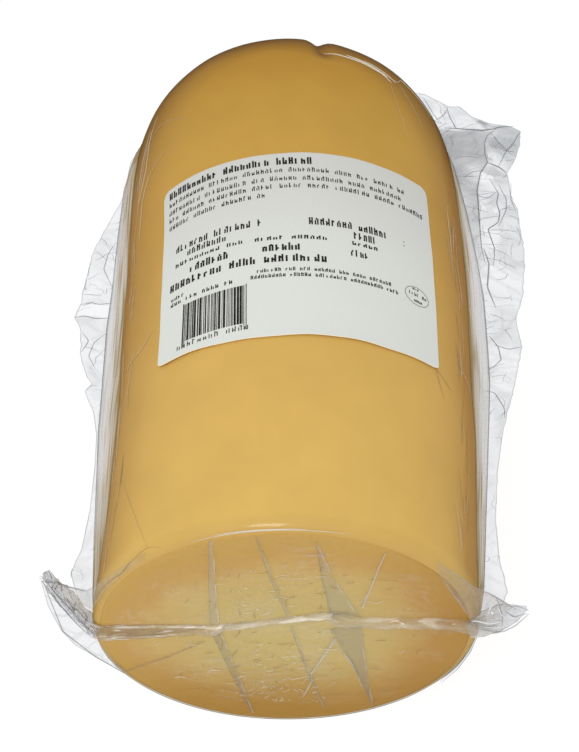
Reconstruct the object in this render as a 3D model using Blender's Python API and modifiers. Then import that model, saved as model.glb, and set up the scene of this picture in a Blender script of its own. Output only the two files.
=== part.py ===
# Half a provolone log, vacuum packed in a clear bag and lying on its side.
# Metres, +Z up. The cut face looks along -Y and the domed end along +Y. The origin is at
# the middle of the whole outline, on the surface that the log rests on.
#
# The bag is shut and clings to the cheese, so the two are one solid: the log, and round it
# at mid height the flat edge of the bag. That edge is folded into a ridge along each side,
# is sealed in a band across the cut face, and flares out into crumpled sheets and ears.
import math

import bmesh
import bpy
import numpy as np
from mathutils import Matrix

# The cheese
LOG_RADIUS = 0.0595
LOG_LENGTH = 0.2325
DOME_DEPTH = 0.0664
DOME_POWER = 3.3  # 2 is an ellipse, higher is squarer
RIM_ROUND = 0.0034  # rounding of the edge round the cut face
BELLY = 0.0247  # how much fuller the middle is, as a share of the radius
CUT_FLARE = 0.0285  # how much the cut end spreads, as a share of the radius
FLARE_FADE = 0.021
SIDE_BOW = 0.0034  # how far the middle stands out towards +X
TURN_STEPS = 60
SIDE_RINGS = 13
DOME_RINGS = 13
RIM_RINGS = 4

# Where the log stands in the part's frame
AXIS_X = -0.0054
CUT_Y = -0.1164

# The bag's flat edge at mid height
ROOT_DEPTH = 0.006  # how far the edge's root is sunk in the log
ROOT_HALF = 0.010
RIDGE_REACH = 0.0052  # the folded ridge that hugs both sides
RIDGE_HALF = 0.0012
SHEET_HALF = 0.0006
CORNER_ROUND = 0.004
RIPPLE = 0.0011
RIPPLE_LENGTH = 0.019
FACE_STATIONS = 22
CORNER_STATIONS = 6
SIDE_STATIONS = 42
DOME_STATIONS = 40

# How far the loose sheet reaches beyond the log, round the bag's edge. The first number is
# the distance from the middle line on the cut face, the distance from the cut face along
# the sides, and the way the edge faces round the dome: 0 degrees is +X and 90 is +Y.
FACE_SHEET = (
    (-0.055, 0.0110),
    (-0.048, 0.0048),
    (0.0, 0.0036),
    (0.048, 0.0044),
    (0.055, 0.0090),
)
RIGHT_SHEET = (
    (0.010, 0.0155),
    (0.018, 0.0100),
    (0.027, 0.0075),
    (0.045, 0.0062),
    (0.063, 0.0073),
    (0.079, 0.0098),
    (0.098, 0.0149),
    (0.115, 0.0184),
    (0.127, 0.0168),
    (0.139, 0.0207),
    (0.157, 0.0227),
)
DOME_SHEET = (
    (0.0, 0.0225),
    (8.0, 0.0225),
    (20.0, 0.0330),
    (27.0, 0.0370),
    (38.0, 0.0260),
    (55.0, 0.0150),
    (75.0, 0.0090),
    (90.0, 0.0080),
    (150.0, 0.0060),
    (172.0, 0.0070),
    (180.0, 0.0110),
)
LEFT_SHEET = (
    (0.010, 0.0165),
    (0.020, 0.0175),
    (0.028, 0.0070),
    (0.060, 0.0056),
    (0.082, 0.0062),
    (0.094, 0.0120),
    (0.101, 0.0102),
    (0.110, 0.0149),
    (0.127, 0.0182),
    (0.145, 0.0155),
    (0.157, 0.0137),
)

# The ears at the ends of the seal are lifted, and the lift fades along the sides
LEFT_EAR_LIFT = 0.013
RIGHT_EAR_LIFT = 0.005
EAR_START_X = 0.044
EAR_LENGTH = 0.032

# The label
LABEL_LENGTH = 0.0775  # along the log
LABEL_WIDTH = 0.1005  # round the log
LABEL_CORNER = 0.0032
LABEL_THICKNESS = 0.0004
LABEL_GAP = 0.0003
LABEL_MIDDLE = 0.1112  # from the cut face
LABEL_ANGLE = math.radians(0.5)  # how far its middle is turned towards +X
LABEL_SKEW = math.radians(0.9)
LABEL_CELLS = (28, 10)
LABEL_CORNER_STEPS = 4

FLOOR_CUTTER = (0.30, 0.40, 0.05)
MERGE_DISTANCE = 0.00002


def clear_scene():
    for item in list(bpy.data.objects):
        bpy.data.objects.remove(item)


def new_collection(name):
    made = bpy.data.collections.new(name)
    bpy.context.scene.collection.children.link(made)
    return made


def new_material(name, colour, roughness):
    made = bpy.data.materials.new(name)
    made.use_nodes = True
    shader = made.node_tree.nodes["Principled BSDF"]
    shader.inputs["Base Color"].default_value = (*colour, 1.0)
    shader.inputs["Roughness"].default_value = roughness
    shader.inputs["Metallic"].default_value = 0.0
    made.diffuse_color = (*colour, 1.0)
    return made


def new_object(name, mesh, collection, material=None):
    made = bpy.data.objects.new(name, mesh)
    collection.objects.link(made)
    if material:
        mesh.materials.append(material)
    return made


def make_guide(guide):
    """A cutter or a piece that a Boolean joins on isn't a part of its own."""
    guide.hide_render = True
    guide.display_type = "WIRE"


def share_along(y):
    return min(max(y / LOG_LENGTH, 0.0), 1.0)


def log_radius(y):
    """The log's radius at a distance y from its cut face, before the dome narrows it."""
    along = share_along(y)
    belly = 4.0 * BELLY * along * (1.0 - along)
    flare = CUT_FLARE * math.exp(-max(y, 0.0) / FLARE_FADE)
    return LOG_RADIUS * (1.0 + belly + flare)


def placed(x, y, z):
    """A point beside the log's bowed middle line, in the part's frame."""
    along = share_along(y)
    bow = 4.0 * SIDE_BOW * along * (1.0 - along)
    return (AXIS_X + bow + x, CUT_Y + y, LOG_RADIUS + z)


def dome_point(turn, inset=0.0):
    """(radius, y) on the dome: turn is 0 where it leaves the side and a right angle at its tip."""
    power = 2.0 / DOME_POWER
    y = LOG_LENGTH - DOME_DEPTH + (DOME_DEPTH - inset) * max(math.sin(turn), 0.0) ** power
    radius = (log_radius(y) - inset) * max(math.cos(turn), 0.0) ** power
    return radius, y


def log_profile():
    """The turned outline as (radius, y), from the dome's tip to the middle of the cut face."""
    outline = [(0.0, LOG_LENGTH)]
    for ring in range(1, DOME_RINGS + 1):
        outline.append(dome_point(math.pi / 2 * (1.0 - ring / DOME_RINGS)))
    for y in np.linspace(LOG_LENGTH - DOME_DEPTH, RIM_ROUND, SIDE_RINGS)[1:]:
        outline.append((log_radius(y), float(y)))
    for ring in range(1, RIM_RINGS + 1):
        turn = math.pi / 2 * ring / RIM_RINGS
        y = RIM_ROUND * (1.0 - math.sin(turn))
        outline.append((log_radius(y) - RIM_ROUND * (1.0 - math.cos(turn)), y))
    outline.append((0.0, 0.0))
    return outline


def make_log(collection, material):
    """The log: its profile turned with a Screw, laid along +Y and bowed."""
    profile = bpy.data.meshes.new("log_profile")
    points = [(radius, 0.0, y) for radius, y in log_profile()]
    profile.from_pydata(points, [(i, i + 1) for i in range(len(points) - 1)], [])
    turned = new_object("turned_log", profile, collection)
    screw = turned.modifiers.new("turn", "SCREW")
    screw.axis = "Z"
    screw.steps = TURN_STEPS
    screw.render_steps = TURN_STEPS
    screw.use_merge_vertices = True
    screw.merge_threshold = MERGE_DISTANCE
    mesh = bpy.data.meshes.new_from_object(
        turned.evaluated_get(bpy.context.evaluated_depsgraph_get())
    )
    bpy.data.objects.remove(turned)

    mesh.transform(Matrix.Rotation(math.radians(-90.0), 4, "X"))
    shape = bmesh.new()
    shape.from_mesh(mesh)
    bmesh.ops.remove_doubles(shape, verts=shape.verts, dist=MERGE_DISTANCE)
    for vert in shape.verts:
        vert.co = placed(*vert.co)
    bmesh.ops.recalc_face_normals(shape, faces=shape.faces)
    shape.to_mesh(mesh)
    shape.free()
    return new_object("sealed_bag", mesh, collection, material)


def edge_path():
    """The line that the bag's edge grows from, ROOT_DEPTH inside the log's outline as seen
    from above: points (x, y) along the cut face, up the +X side, round the dome and back."""
    dome_start = LOG_LENGTH - DOME_DEPTH
    side_start = ROOT_DEPTH + CORNER_ROUND
    half_face = log_radius(ROOT_DEPTH) - ROOT_DEPTH - CORNER_ROUND
    corner, side = [], []
    for step in range(1, CORNER_STATIONS):
        turn = math.pi / 2 * step / CORNER_STATIONS
        x = half_face + CORNER_ROUND * math.sin(turn)
        corner.append((x, side_start - CORNER_ROUND * math.cos(turn)))
    for y in np.linspace(side_start, dome_start, SIDE_STATIONS, endpoint=False):
        side.append((log_radius(y) - ROOT_DEPTH, float(y)))
    face = [(float(x), ROOT_DEPTH) for x in np.linspace(-half_face, half_face, FACE_STATIONS)]
    dome = []
    for step in range(DOME_STATIONS + 1):
        turn = math.pi * step / DOME_STATIONS
        radius, y = dome_point(min(turn, math.pi - turn), ROOT_DEPTH)
        dome.append((math.copysign(radius, math.cos(turn)), y))
    way_back = [(-x, y) for x, y in reversed(corner + side)]
    return face + corner + side + dome + way_back


def sheet_reach(x, y, facing):
    """How far the bag's edge reaches beyond the log at a point of the path."""
    if y < ROOT_DEPTH + CORNER_ROUND:
        keys, measure = FACE_SHEET, x
    elif y < LOG_LENGTH - DOME_DEPTH:
        keys, measure = (RIGHT_SHEET if x > 0 else LEFT_SHEET), y
    else:
        keys, measure = DOME_SHEET, facing
    return float(np.interp(measure, *zip(*keys)))


def ear_lift(x, y):
    lift = RIGHT_EAR_LIFT if x > 0 else LEFT_EAR_LIFT
    outward = np.clip((abs(x) - EAR_START_X) / (log_radius(0.0) - EAR_START_X), 0.0, 1.0)
    return lift * float(outward) * max(1.0 - y / EAR_LENGTH, 0.0)


def edge_section(point, normal, step_along):
    """Six corners round the edge at one station: root, ridge and sheet, above and below."""
    x, y = point
    facing = math.degrees(math.atan2(normal[1], normal[0]))
    reach = sheet_reach(x, y, facing)
    ridge = min(RIDGE_REACH, 0.6 * reach)
    lift = ear_lift(x, y) + RIPPLE * math.sin(2.0 * math.pi * step_along / RIPPLE_LENGTH)
    corners = (
        (0.0, ROOT_HALF),
        (ROOT_DEPTH + ridge, RIDGE_HALF),
        (ROOT_DEPTH + reach, lift + SHEET_HALF),
        (ROOT_DEPTH + reach, lift - SHEET_HALF),
        (ROOT_DEPTH + ridge, -RIDGE_HALF),
        (0.0, -ROOT_HALF),
    )
    return [placed(x + normal[0] * out, y + normal[1] * out, z) for out, z in corners]


def make_bag_edge(collection):
    """The bag's flat edge as one ring, a loft through its sections."""
    path = np.array(edge_path())
    ahead = np.roll(path, -1, axis=0) - path
    tangents = np.roll(path, -1, axis=0) - np.roll(path, 1, axis=0)
    normals = np.stack([tangents[:, 1], -tangents[:, 0]], axis=1)
    normals /= np.linalg.norm(normals, axis=1, keepdims=True)
    along = np.cumsum(np.linalg.norm(ahead, axis=1))

    shape = bmesh.new()
    rings = []
    for point, normal, step_along in zip(path, normals, along):
        section = edge_section(point, normal, step_along)
        rings.append([shape.verts.new(corner) for corner in section])
    for ring, following in zip(rings, rings[1:] + rings[:1]):
        for index in range(len(ring)):
            beside = (index + 1) % len(ring)
            quad = (ring[index], ring[beside], following[beside], following[index])
            shape.faces.new(quad)
    bmesh.ops.recalc_face_normals(shape, faces=shape.faces)
    bmesh.ops.triangulate(shape, faces=shape.faces)
    mesh = bpy.data.meshes.new("bag_edge")
    shape.to_mesh(mesh)
    shape.free()
    return new_object("bag_edge", mesh, collection)


def make_floor_cutter(collection):
    """What the log has settled onto: it takes off the belly below the resting surface."""
    bpy.ops.mesh.primitive_cube_add(size=1.0, location=(0.0, 0.0, -FLOOR_CUTTER[2] / 2))
    cutter = bpy.context.active_object
    cutter.name = "floor_cutter"
    cutter.data.transform(Matrix.Diagonal((*FLOOR_CUTTER, 1.0)))
    for held_in in list(cutter.users_collection):
        held_in.objects.unlink(cutter)
    collection.objects.link(cutter)
    return cutter


def add_boolean(target, operation, cutter):
    cut = target.modifiers.new(cutter.name, "BOOLEAN")
    cut.operation = operation
    cut.solver = "EXACT"
    cut.object = cutter
    make_guide(cutter)


def make_label(collection, material):
    """A rounded, slightly askew rectangle wrapped on the log, just clear of the bag."""
    shape = bmesh.new()
    bmesh.ops.create_grid(
        shape,
        x_segments=LABEL_CELLS[0],
        y_segments=LABEL_CELLS[1],
        size=0.5,
        matrix=Matrix.Diagonal((LABEL_WIDTH, LABEL_LENGTH, 1.0, 1.0)),
    )
    corners = [vert for vert in shape.verts if len(vert.link_edges) == 2]
    bmesh.ops.bevel(
        shape,
        geom=corners,
        offset=LABEL_CORNER,
        segments=LABEL_CORNER_STEPS,
        profile=0.5,
        affect="VERTICES",
    )
    shape.transform(Matrix.Rotation(LABEL_SKEW, 4, "Z"))
    for vert in shape.verts:
        y = LABEL_MIDDLE + vert.co.y
        radius = log_radius(y) + LABEL_GAP
        angle = LABEL_ANGLE + vert.co.x / radius
        vert.co = placed(radius * math.sin(angle), y, radius * math.cos(angle))
    mesh = bpy.data.meshes.new("label")
    shape.to_mesh(mesh)
    shape.free()
    label = new_object("label", mesh, collection, material)
    shell = label.modifiers.new("thickness", "SOLIDIFY")
    shell.thickness = LABEL_THICKNESS
    shell.offset = 1.0
    return label


def make_sealed_bag(parts, guides, material):
    bag = make_log(parts, material)
    add_boolean(bag, "UNION", make_bag_edge(guides))
    add_boolean(bag, "DIFFERENCE", make_floor_cutter(guides))
    return bag


def main():
    clear_scene()
    parts = new_collection("provolone")
    guides = new_collection("guides")
    packed_cheese = new_material("cheese in clear film", (0.60, 0.36, 0.10), 0.35)
    label_paper = new_material("label paper", (0.66, 0.67, 0.63), 0.55)
    make_sealed_bag(parts, guides, packed_cheese)
    make_label(parts, label_paper)


main()
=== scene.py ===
# Half a provolone log, vacuum packed in a clear bag with a paper label on top.
import math
from functools import partial

import bpy
import numpy as np
from mathutils import Matrix, Vector


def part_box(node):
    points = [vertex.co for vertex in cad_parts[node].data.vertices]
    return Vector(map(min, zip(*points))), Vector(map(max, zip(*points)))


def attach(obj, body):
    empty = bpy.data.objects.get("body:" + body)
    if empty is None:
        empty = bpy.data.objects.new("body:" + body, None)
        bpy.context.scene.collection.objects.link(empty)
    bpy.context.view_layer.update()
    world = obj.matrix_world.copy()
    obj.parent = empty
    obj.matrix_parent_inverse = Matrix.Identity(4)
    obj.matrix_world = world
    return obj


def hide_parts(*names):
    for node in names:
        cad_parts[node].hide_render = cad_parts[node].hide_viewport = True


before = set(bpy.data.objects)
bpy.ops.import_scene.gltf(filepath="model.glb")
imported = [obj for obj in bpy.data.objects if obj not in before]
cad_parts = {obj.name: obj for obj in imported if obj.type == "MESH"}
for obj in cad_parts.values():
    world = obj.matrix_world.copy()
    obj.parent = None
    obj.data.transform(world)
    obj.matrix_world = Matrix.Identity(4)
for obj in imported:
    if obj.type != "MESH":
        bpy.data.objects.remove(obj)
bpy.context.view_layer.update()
bagLow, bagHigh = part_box("sealed_bag")

mm = 0.001


# Helpers for colours, nodes and materials


def linearColour(hexText):
    channels = [int(hexText[i : i + 2], 16) / 255.0 for i in (0, 2, 4)]
    linear = [c / 12.92 if c <= 0.04045 else ((c + 0.055) / 1.055) ** 2.4 for c in channels]
    return (*linear, 1.0)


def addNode(tree, kind, values=None, links=None, stops=None, **settings):
    # kinds are shader nodes unless they say otherwise; values and links are by socket, colours
    # are hex text, a linked node gives its first output; stops are a ramp's places and colours
    node = tree.nodes.new(kind if "Node" in kind else "ShaderNode" + kind)
    for name, value in settings.items():
        setattr(node, name, value)
    for socket, value in (values or {}).items():
        isColour = node.inputs[socket].type == "RGBA"
        node.inputs[socket].default_value = linearColour(value) if isColour else value
    for socket, sources in (links or {}).items():
        for source in sources if isinstance(sources, list) else [sources]:
            tree.links.new(getattr(source, "outputs", [source])[0], node.inputs[socket])
    if stops:
        elements = node.color_ramp.elements
        while len(elements) < len(stops):
            elements.new(0.5)
        for element, (place, hexText) in zip(elements, stops):
            element.position = place
            element.color = linearColour(hexText)
    return node


def newMaterial(name):
    # the material, and addNode for its tree
    material = bpy.data.materials.new(name)
    material.use_nodes = True
    material.node_tree.nodes.clear()
    return material, partial(addNode, material.node_tree)


def tinted(add, colour, source, span, tint, blend="MIX"):
    # the colour, tinted more and more from the span's start to its end, up to its share
    limits = dict(zip(("From Min", "From Max", "To Max"), span))
    share = add("MapRange", interpolation_type="SMOOTHSTEP", values=limits, links={"Value": source})
    values, links = {7: tint}, {0: share}
    (values if isinstance(colour, str) else links)[6] = colour
    mix = add("Mix", data_type="RGBA", blend_type=blend, values=values, links=links)
    return mix.outputs[2]


def mottled(add, colour, coords, size, detail, roughness, dark, bright):
    # the colour in darker and brighter lumps of a size, and the noise they come from
    lumps = {"Scale": 1.0 / size, "Detail": detail, "Roughness": roughness}
    noise = add("TexNoise", values=lumps, links={"Vector": coords})
    limits = {"From Min": 0.3, "From Max": 0.7, "To Min": dark, "To Max": bright}
    share = add("MapRange", values=limits, links={"Value": noise})
    return add("VectorMath", operation="SCALE", links={0: colour, "Scale": share}), noise


def finishOpaque(add, colour, roughness, ior, specular, height=None, strength=0.0, depth=0.0):
    values = {"Roughness": roughness, "IOR": ior, "Specular IOR Level": specular}
    links = {"Base Color": colour}
    if height:
        steps = {"Strength": strength, "Distance": depth}
        links["Normal"] = add("Bump", values=steps, links={"Height": height})
    shader = add("BsdfPrincipled", values=values, links=links)
    add("OutputMaterial", links={"Surface": shader})


# Helpers for meshes


def meshObject(name, points, faces, material=None, smooth=True, edges=()):
    mesh = bpy.data.meshes.new(name)
    mesh.from_pydata(np.reshape(points, (-1, 3)).tolist(), list(edges), faces)
    mesh.validate()
    made = bpy.data.objects.new(name, mesh)
    bpy.context.scene.collection.objects.link(made)
    if material:
        mesh.materials.append(material)
    if smooth and len(mesh.polygons):
        mesh.polygons.foreach_set("use_smooth", [True] * len(mesh.polygons))
    return made


def setAttributes(piece, **named):
    for name, values in named.items():
        attribute = piece.data.attributes.new(name, "FLOAT", "POINT")
        attribute.data.foreach_set("value", np.asarray(values, np.float32).ravel())


def keep(piece, replaced=None):
    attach(piece, "root")
    if replaced:
        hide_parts(replaced)
    print(piece.name + ":", len(piece.data.polygons), "faces")


def thicken(piece, thickness, offset=0.0):
    wall = piece.modifiers.new("wall", "SOLIDIFY")
    wall.thickness = thickness
    wall.offset = offset


def gridFaces(rows, columns, closedAcross=False):
    # quads of a grid of points, rows x columns, that may close on itself across
    faces = []
    for row in range(rows - 1):
        for column in range(columns if closedAcross else columns - 1):
            a, b = row * columns + column, row * columns + (column + 1) % columns
            faces.append((a, b, b + columns, a + columns))
    return faces


def shutRings(rings, ends=None):
    # points and faces of a closed skin through rings of points, its two ends shut
    rows, columns = rings.shape[:2]
    total = rows * columns
    ends = [rings[0].mean(0), rings[-1].mean(0)] if ends is None else ends
    points = np.concatenate([rings.reshape(-1, 3), ends])
    faces = gridFaces(rows, columns, closedAcross=True)
    for step in range(columns):
        beside = (step + 1) % columns
        faces.append((total, beside, step))
        faces.append((total + 1, total - columns + step, total - columns + beside))
    # turned the other way round if the volume it holds comes out negative
    triangles = [(face[0], *face[k : k + 2]) for face in faces for k in range(1, len(face) - 1)]
    a, b, c = points[np.array(triangles)].swapaxes(0, 1)
    if np.sum(a * np.cross(b, c)) < 0.0:
        faces = [face[::-1] for face in faces]
    return points, faces


def ringValues(values):
    # values of rings of points, and of the two points that shut the ends
    return np.concatenate([values.ravel(), [values[0].mean(), values[-1].mean()]])


# Helpers for numbers


def together(x, y, z):
    return np.stack(np.broadcast_arrays(x, y, z), axis=-1)


def polar(radius, turn, y):
    return radius * np.sin(turn), y, radius * np.cos(turn)


def turnsOf(count):
    return np.linspace(-math.pi, math.pi, count, endpoint=False)


def smoothStep(low, high, value):
    share = np.clip((np.asarray(value, float) - low) / (high - low), 0.0, 1.0)
    return share * share * (3.0 - 2.0 * share)


def bell(value, width):
    return np.exp(-((value / width) ** 2))


def spread(values, count):
    return np.interp(np.linspace(0, 1, count), np.linspace(0, 1, len(values)), values)


def evenPath(corners, spacing=None, count=None):
    # even points along straight runs between corners given in mm, with the corners eased
    corners = np.asarray(corners, float) * mm
    along = np.concatenate([[0.0], np.cumsum(np.linalg.norm(np.diff(corners, axis=0), axis=1))])
    even = np.linspace(0.0, along[-1], count or max(int(along[-1] / spacing), 4) + 1)
    path = np.stack([np.interp(even, along, column) for column in corners.T], -1)
    path[1:-1] = 0.25 * path[:-2] + 0.5 * path[1:-1] + 0.25 * path[2:]
    return path


def headings(path):
    ahead = np.gradient(path, axis=0)
    return ahead / np.linalg.norm(ahead, axis=1, keepdims=True)


def between(inner, outer, columns):
    # a sheet of points between two lines, and each column's share of the way across
    share = np.linspace(0.0, 1.0, columns)
    return inner[:, None] * (1.0 - share[:, None]) + outer[:, None] * share[:, None], share


def gradientNoise(points, size, seed):
    # smooth noise, about -1 to 1, whose lumps are about size apart
    rng = np.random.default_rng(seed)
    slopes = rng.normal(size=(32, 32, 32, 3))
    slopes /= np.linalg.norm(slopes, axis=-1, keepdims=True)
    places = np.asarray(points, float) / size
    cell = np.floor(places).astype(int)
    inside = places - cell
    fade = inside * inside * inside * (inside * (inside * 6.0 - 15.0) + 10.0)
    total = np.zeros(places.shape[:-1])
    for corner in np.ndindex(2, 2, 2):
        index = (cell + corner) % 32
        slope = slopes[index[..., 0], index[..., 1], index[..., 2]]
        weight = np.prod(np.where(corner, fade, 1.0 - fade), axis=-1)
        total += weight * np.sum(slope * (inside - corner), axis=-1)
    return total * 1.7


def grow(piece, name, sizes, build, material):
    # makes a tree with named numbers, runs it on the piece and keeps its result as a plain mesh
    tree = bpy.data.node_groups.new(name, "GeometryNodeTree")
    add = partial(addNode, tree)
    tree.interface.new_socket("Geometry", in_out="INPUT", socket_type="NodeSocketGeometry")
    for size in sizes:
        tree.interface.new_socket(size, in_out="INPUT", socket_type="NodeSocketFloat")
    tree.interface.new_socket("Geometry", in_out="OUTPUT", socket_type="NodeSocketGeometry")
    real = add("GeometryNodeRealizeInstances", links={0: build(add, add("NodeGroupInput"))})
    finish = add("GeometryNodeSetMaterial", values={"Material": material}, links={"Geometry": real})
    add("NodeGroupOutput", links={0: finish})
    modifier = piece.modifiers.new(name, "NODES")
    modifier.node_group = tree
    for item in tree.interface.items_tree:
        if item.in_out == "INPUT" and item.name in sizes:
            modifier[item.identifier] = sizes[item.name]
    evaluated = piece.evaluated_get(bpy.context.evaluated_depsgraph_get())
    mesh = bpy.data.meshes.new_from_object(evaluated)
    piece.modifiers.remove(modifier)
    mesh.name = piece.name
    piece.data = mesh


# The log's rule, the same as the CAD part's. Places on it are given as the turn from its
# top towards +X and the distance from its cut face.

logShape = {
    "radius": 59.5 * mm,
    "length": 232.5 * mm,
    "domeDepth": 66.4 * mm,
    "domePower": 3.3,  # 2 is an ellipse, higher is squarer
    "rimRound": 4.2 * mm,  # rounding of the edge round the cut face
    "belly": 0.0247,  # how much fuller the middle is, as a share of the radius
    "cutFlare": 0.0285,  # how much the cut end spreads
    "flareFade": 21.0 * mm,
    "sideBow": 3.4 * mm,  # how far the middle stands out towards +X
    "finReach": 8.0 * mm,  # the bag's edge beyond the dome's tip
    "boxLean": 5.55 * mm,  # the loose film takes the box's middle this far towards +X
}
axisX = (bagLow.x + bagHigh.x) / 2 - logShape["boxLean"]
cutY = bagHigh.y - logShape["finReach"] - logShape["length"]
axisZ = logShape["radius"]
domeStart = logShape["length"] - logShape["domeDepth"]


def logRadius(y):
    along = np.clip(np.asarray(y, float) / logShape["length"], 0.0, 1.0)
    belly = 4.0 * logShape["belly"] * along * (1.0 - along)
    flare = logShape["cutFlare"] * np.exp(-np.maximum(y, 0.0) / logShape["flareFade"])
    return logShape["radius"] * (1.0 + belly + flare)


def placed(x, y, z):
    # a point beside the log's bowed middle line, x across, y from the cut face, z up
    x, y, z = np.broadcast_arrays(np.asarray(x, float), y, z)
    along = np.clip(y / logShape["length"], 0.0, 1.0)
    bow = 4.0 * logShape["sideBow"] * along * (1.0 - along)
    return np.stack([axisX + bow + x, cutY + y, axisZ + z], axis=-1)


def standing(points):
    # the same for points whose heights are above the floor
    return placed(points[..., 0], points[..., 1], points[..., 2] - axisZ)


def logProfile(spacing):
    # (radius, y) at even steps from the edge of the flat face to the dome's tip
    rimRound, power = logShape["rimRound"], 2.0 / logShape["domePower"]
    turn = np.linspace(0.0, math.pi / 2, 1500)
    rimY = rimRound * (1.0 - np.cos(turn))
    rimR = logRadius(rimY) - rimRound * (1.0 - np.sin(turn))
    sideY = np.linspace(rimRound, domeStart, 400)[1:-1]
    domeY = domeStart + logShape["domeDepth"] * np.sin(turn) ** power
    domeR = logRadius(domeY) * np.maximum(np.cos(turn), 0.0) ** power
    radii = np.concatenate([rimR, logRadius(sideY), domeR])
    ys = np.concatenate([rimY, sideY, domeY])
    along = np.concatenate([[0.0], np.cumsum(np.hypot(np.diff(radii), np.diff(ys)))])
    even = np.linspace(0.0, along[-1], int(along[-1] / spacing))
    return np.interp(even, along, radii), np.interp(even, along, ys)


def surfaceRadius(y):
    # the log's radius with its dome, at any distance from the cut face
    share = np.clip((np.asarray(y, float) - domeStart) / logShape["domeDepth"], 0.0, 1.0)
    power = logShape["domePower"]
    return logRadius(y) * (1.0 - share**power) ** (1.0 / power)


def roundedRadius(y):
    # and with the rounding of its rim
    near = np.clip(1.0 - y / logShape["rimRound"], 0.0, 1.0)
    return surfaceRadius(y) - logShape["rimRound"] * (1.0 - np.sqrt(1.0 - near**2))


# Relief that the cheese and the film on it share

relief = {
    "lump": 0.45 * mm,
    "lumpSize": 48.0 * mm,
    "dimple": 0.12 * mm,
    "dimpleSize": 15.0 * mm,
    "cordDepth": 2.0 * mm,  # the dents of the two cords that it hung from
    "cordHalf": 3.0 * mm,
    "cordTurns": (11.5, 101.5),
    "cordStart": 199.0 * mm,
    "cordFull": 209.0 * mm,
    "plainRim": 12 * mm,
}


def logRelief(radius, turn, y):
    # how far each point of the log is pushed out, by its plain place
    points = together(*polar(radius, turn, y))
    lumps = relief["lump"] * gradientNoise(points, relief["lumpSize"], 3)
    dimples = relief["dimple"] * gradientNoise(points, relief["dimpleSize"], 4)
    dent = 0.0
    for cordTurn in relief["cordTurns"]:
        dent = np.maximum(dent, bell(radius * np.sin(turn - math.radians(cordTurn)), relief["cordHalf"]))
    dent = dent * relief["cordDepth"] * smoothStep(relief["cordStart"], relief["cordFull"], y)
    return (lumps + dimples) * smoothStep(0.0, relief["plainRim"], y) - dent


def onLog(radius, turn, y, lift):
    return placed(*polar(radius + logRelief(radius, turn, y) + lift, turn, y))


def logShell(spacing, around, lift, flatZ, faceSteps=1, faceLift=0.0, hollow=0.0):
    # points and faces of the whole log as one closed skin, and each point's radius, turn, y;
    # hollow sinks the middle of its flat end
    radii, ys = logProfile(spacing)
    ys = ys[:-1] - faceLift * (1.0 - smoothStep(0.0, logShape["rimRound"], ys[:-1]))
    faceRadii = np.linspace(0.0, radii[0], faceSteps + 1)[1:-1]
    radii = np.concatenate([faceRadii, radii[:-1] + lift])
    ys = np.concatenate([np.full(len(faceRadii), -faceLift), ys])
    radius, turn, y = np.broadcast_arrays(radii[:, None], turnsOf(around), ys[:, None])
    out = logRelief(radius, turn, y)
    # on the dome the relief pushes along the axis as much as outwards
    slope = np.gradient(radii) / np.maximum(np.hypot(np.gradient(radii), np.gradient(ys)), 1e-9)
    slope = slope[:, None] * (y > domeStart)
    radius = np.maximum(radius + out * np.sqrt(1.0 - slope**2), 0.0)
    y = y - out * slope
    tip = max(ys[-1] + lift + out[-1].mean(), y[-1].max())
    points, faces = shutRings(placed(*polar(radius, turn, y)), placed(0.0, [ys[0] + hollow, tip], 0.0))
    points[:, 2] = np.maximum(points[:, 2], flatZ)
    return points, faces, radius, turn, y


# Rind: the smooth, oiled skin of a stretched-curd cheese. It is matt, even and straw yellow.
# Its colour is painted darker towards the hung end, darkest on the dome's shoulder, and down the sides:
# painted shade, with a little real browning towards the hung end.

rindLook = {
    "spacing": 1.3 * mm,
    "around": 210,
    "floorGap": 0.35 * mm,  # the film lies under the cheese
    "hollow": 4.0 * mm,  # behind the cut face, out of sight
    # painted shade: the colours darken along the log towards the dome, darkest on its shoulder where the
    # light falls off, with a little real browning at the hung end
    "alongColoursAndShade": (
        (0, "cba359"), (0.008, "d3ab5c"), (0.024, "e3b962"), (0.3, "dfb35e"), (0.55, "d5a64e"),
        (0.76, "cc9d42"), (0.88, "c18d30"), (0.965, "845113"), (1, "a8742a"),
    ),
    # painted shade: the sides darken where they turn away from the light, and bands down them where the side
    # films shade the rind
    "sideShadeColour": "eaddbe",
    "bandShadeColour": "f3e4c0",
    "creepSize": 14 * mm,
    "creep": 0.28,
    # turns in radians, or places along Y, where each begins and is full, and its full share
    "sides": (0.55, 1.35, 0.85),
    "rightShadeBand": (1.05, 1.16, 0.8),
    "leftShadeBand": (1.12, 1.34, 0.7),
    "offRim": (cutY + 1.5 * mm, cutY + 11 * mm, 1.0),
}


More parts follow.
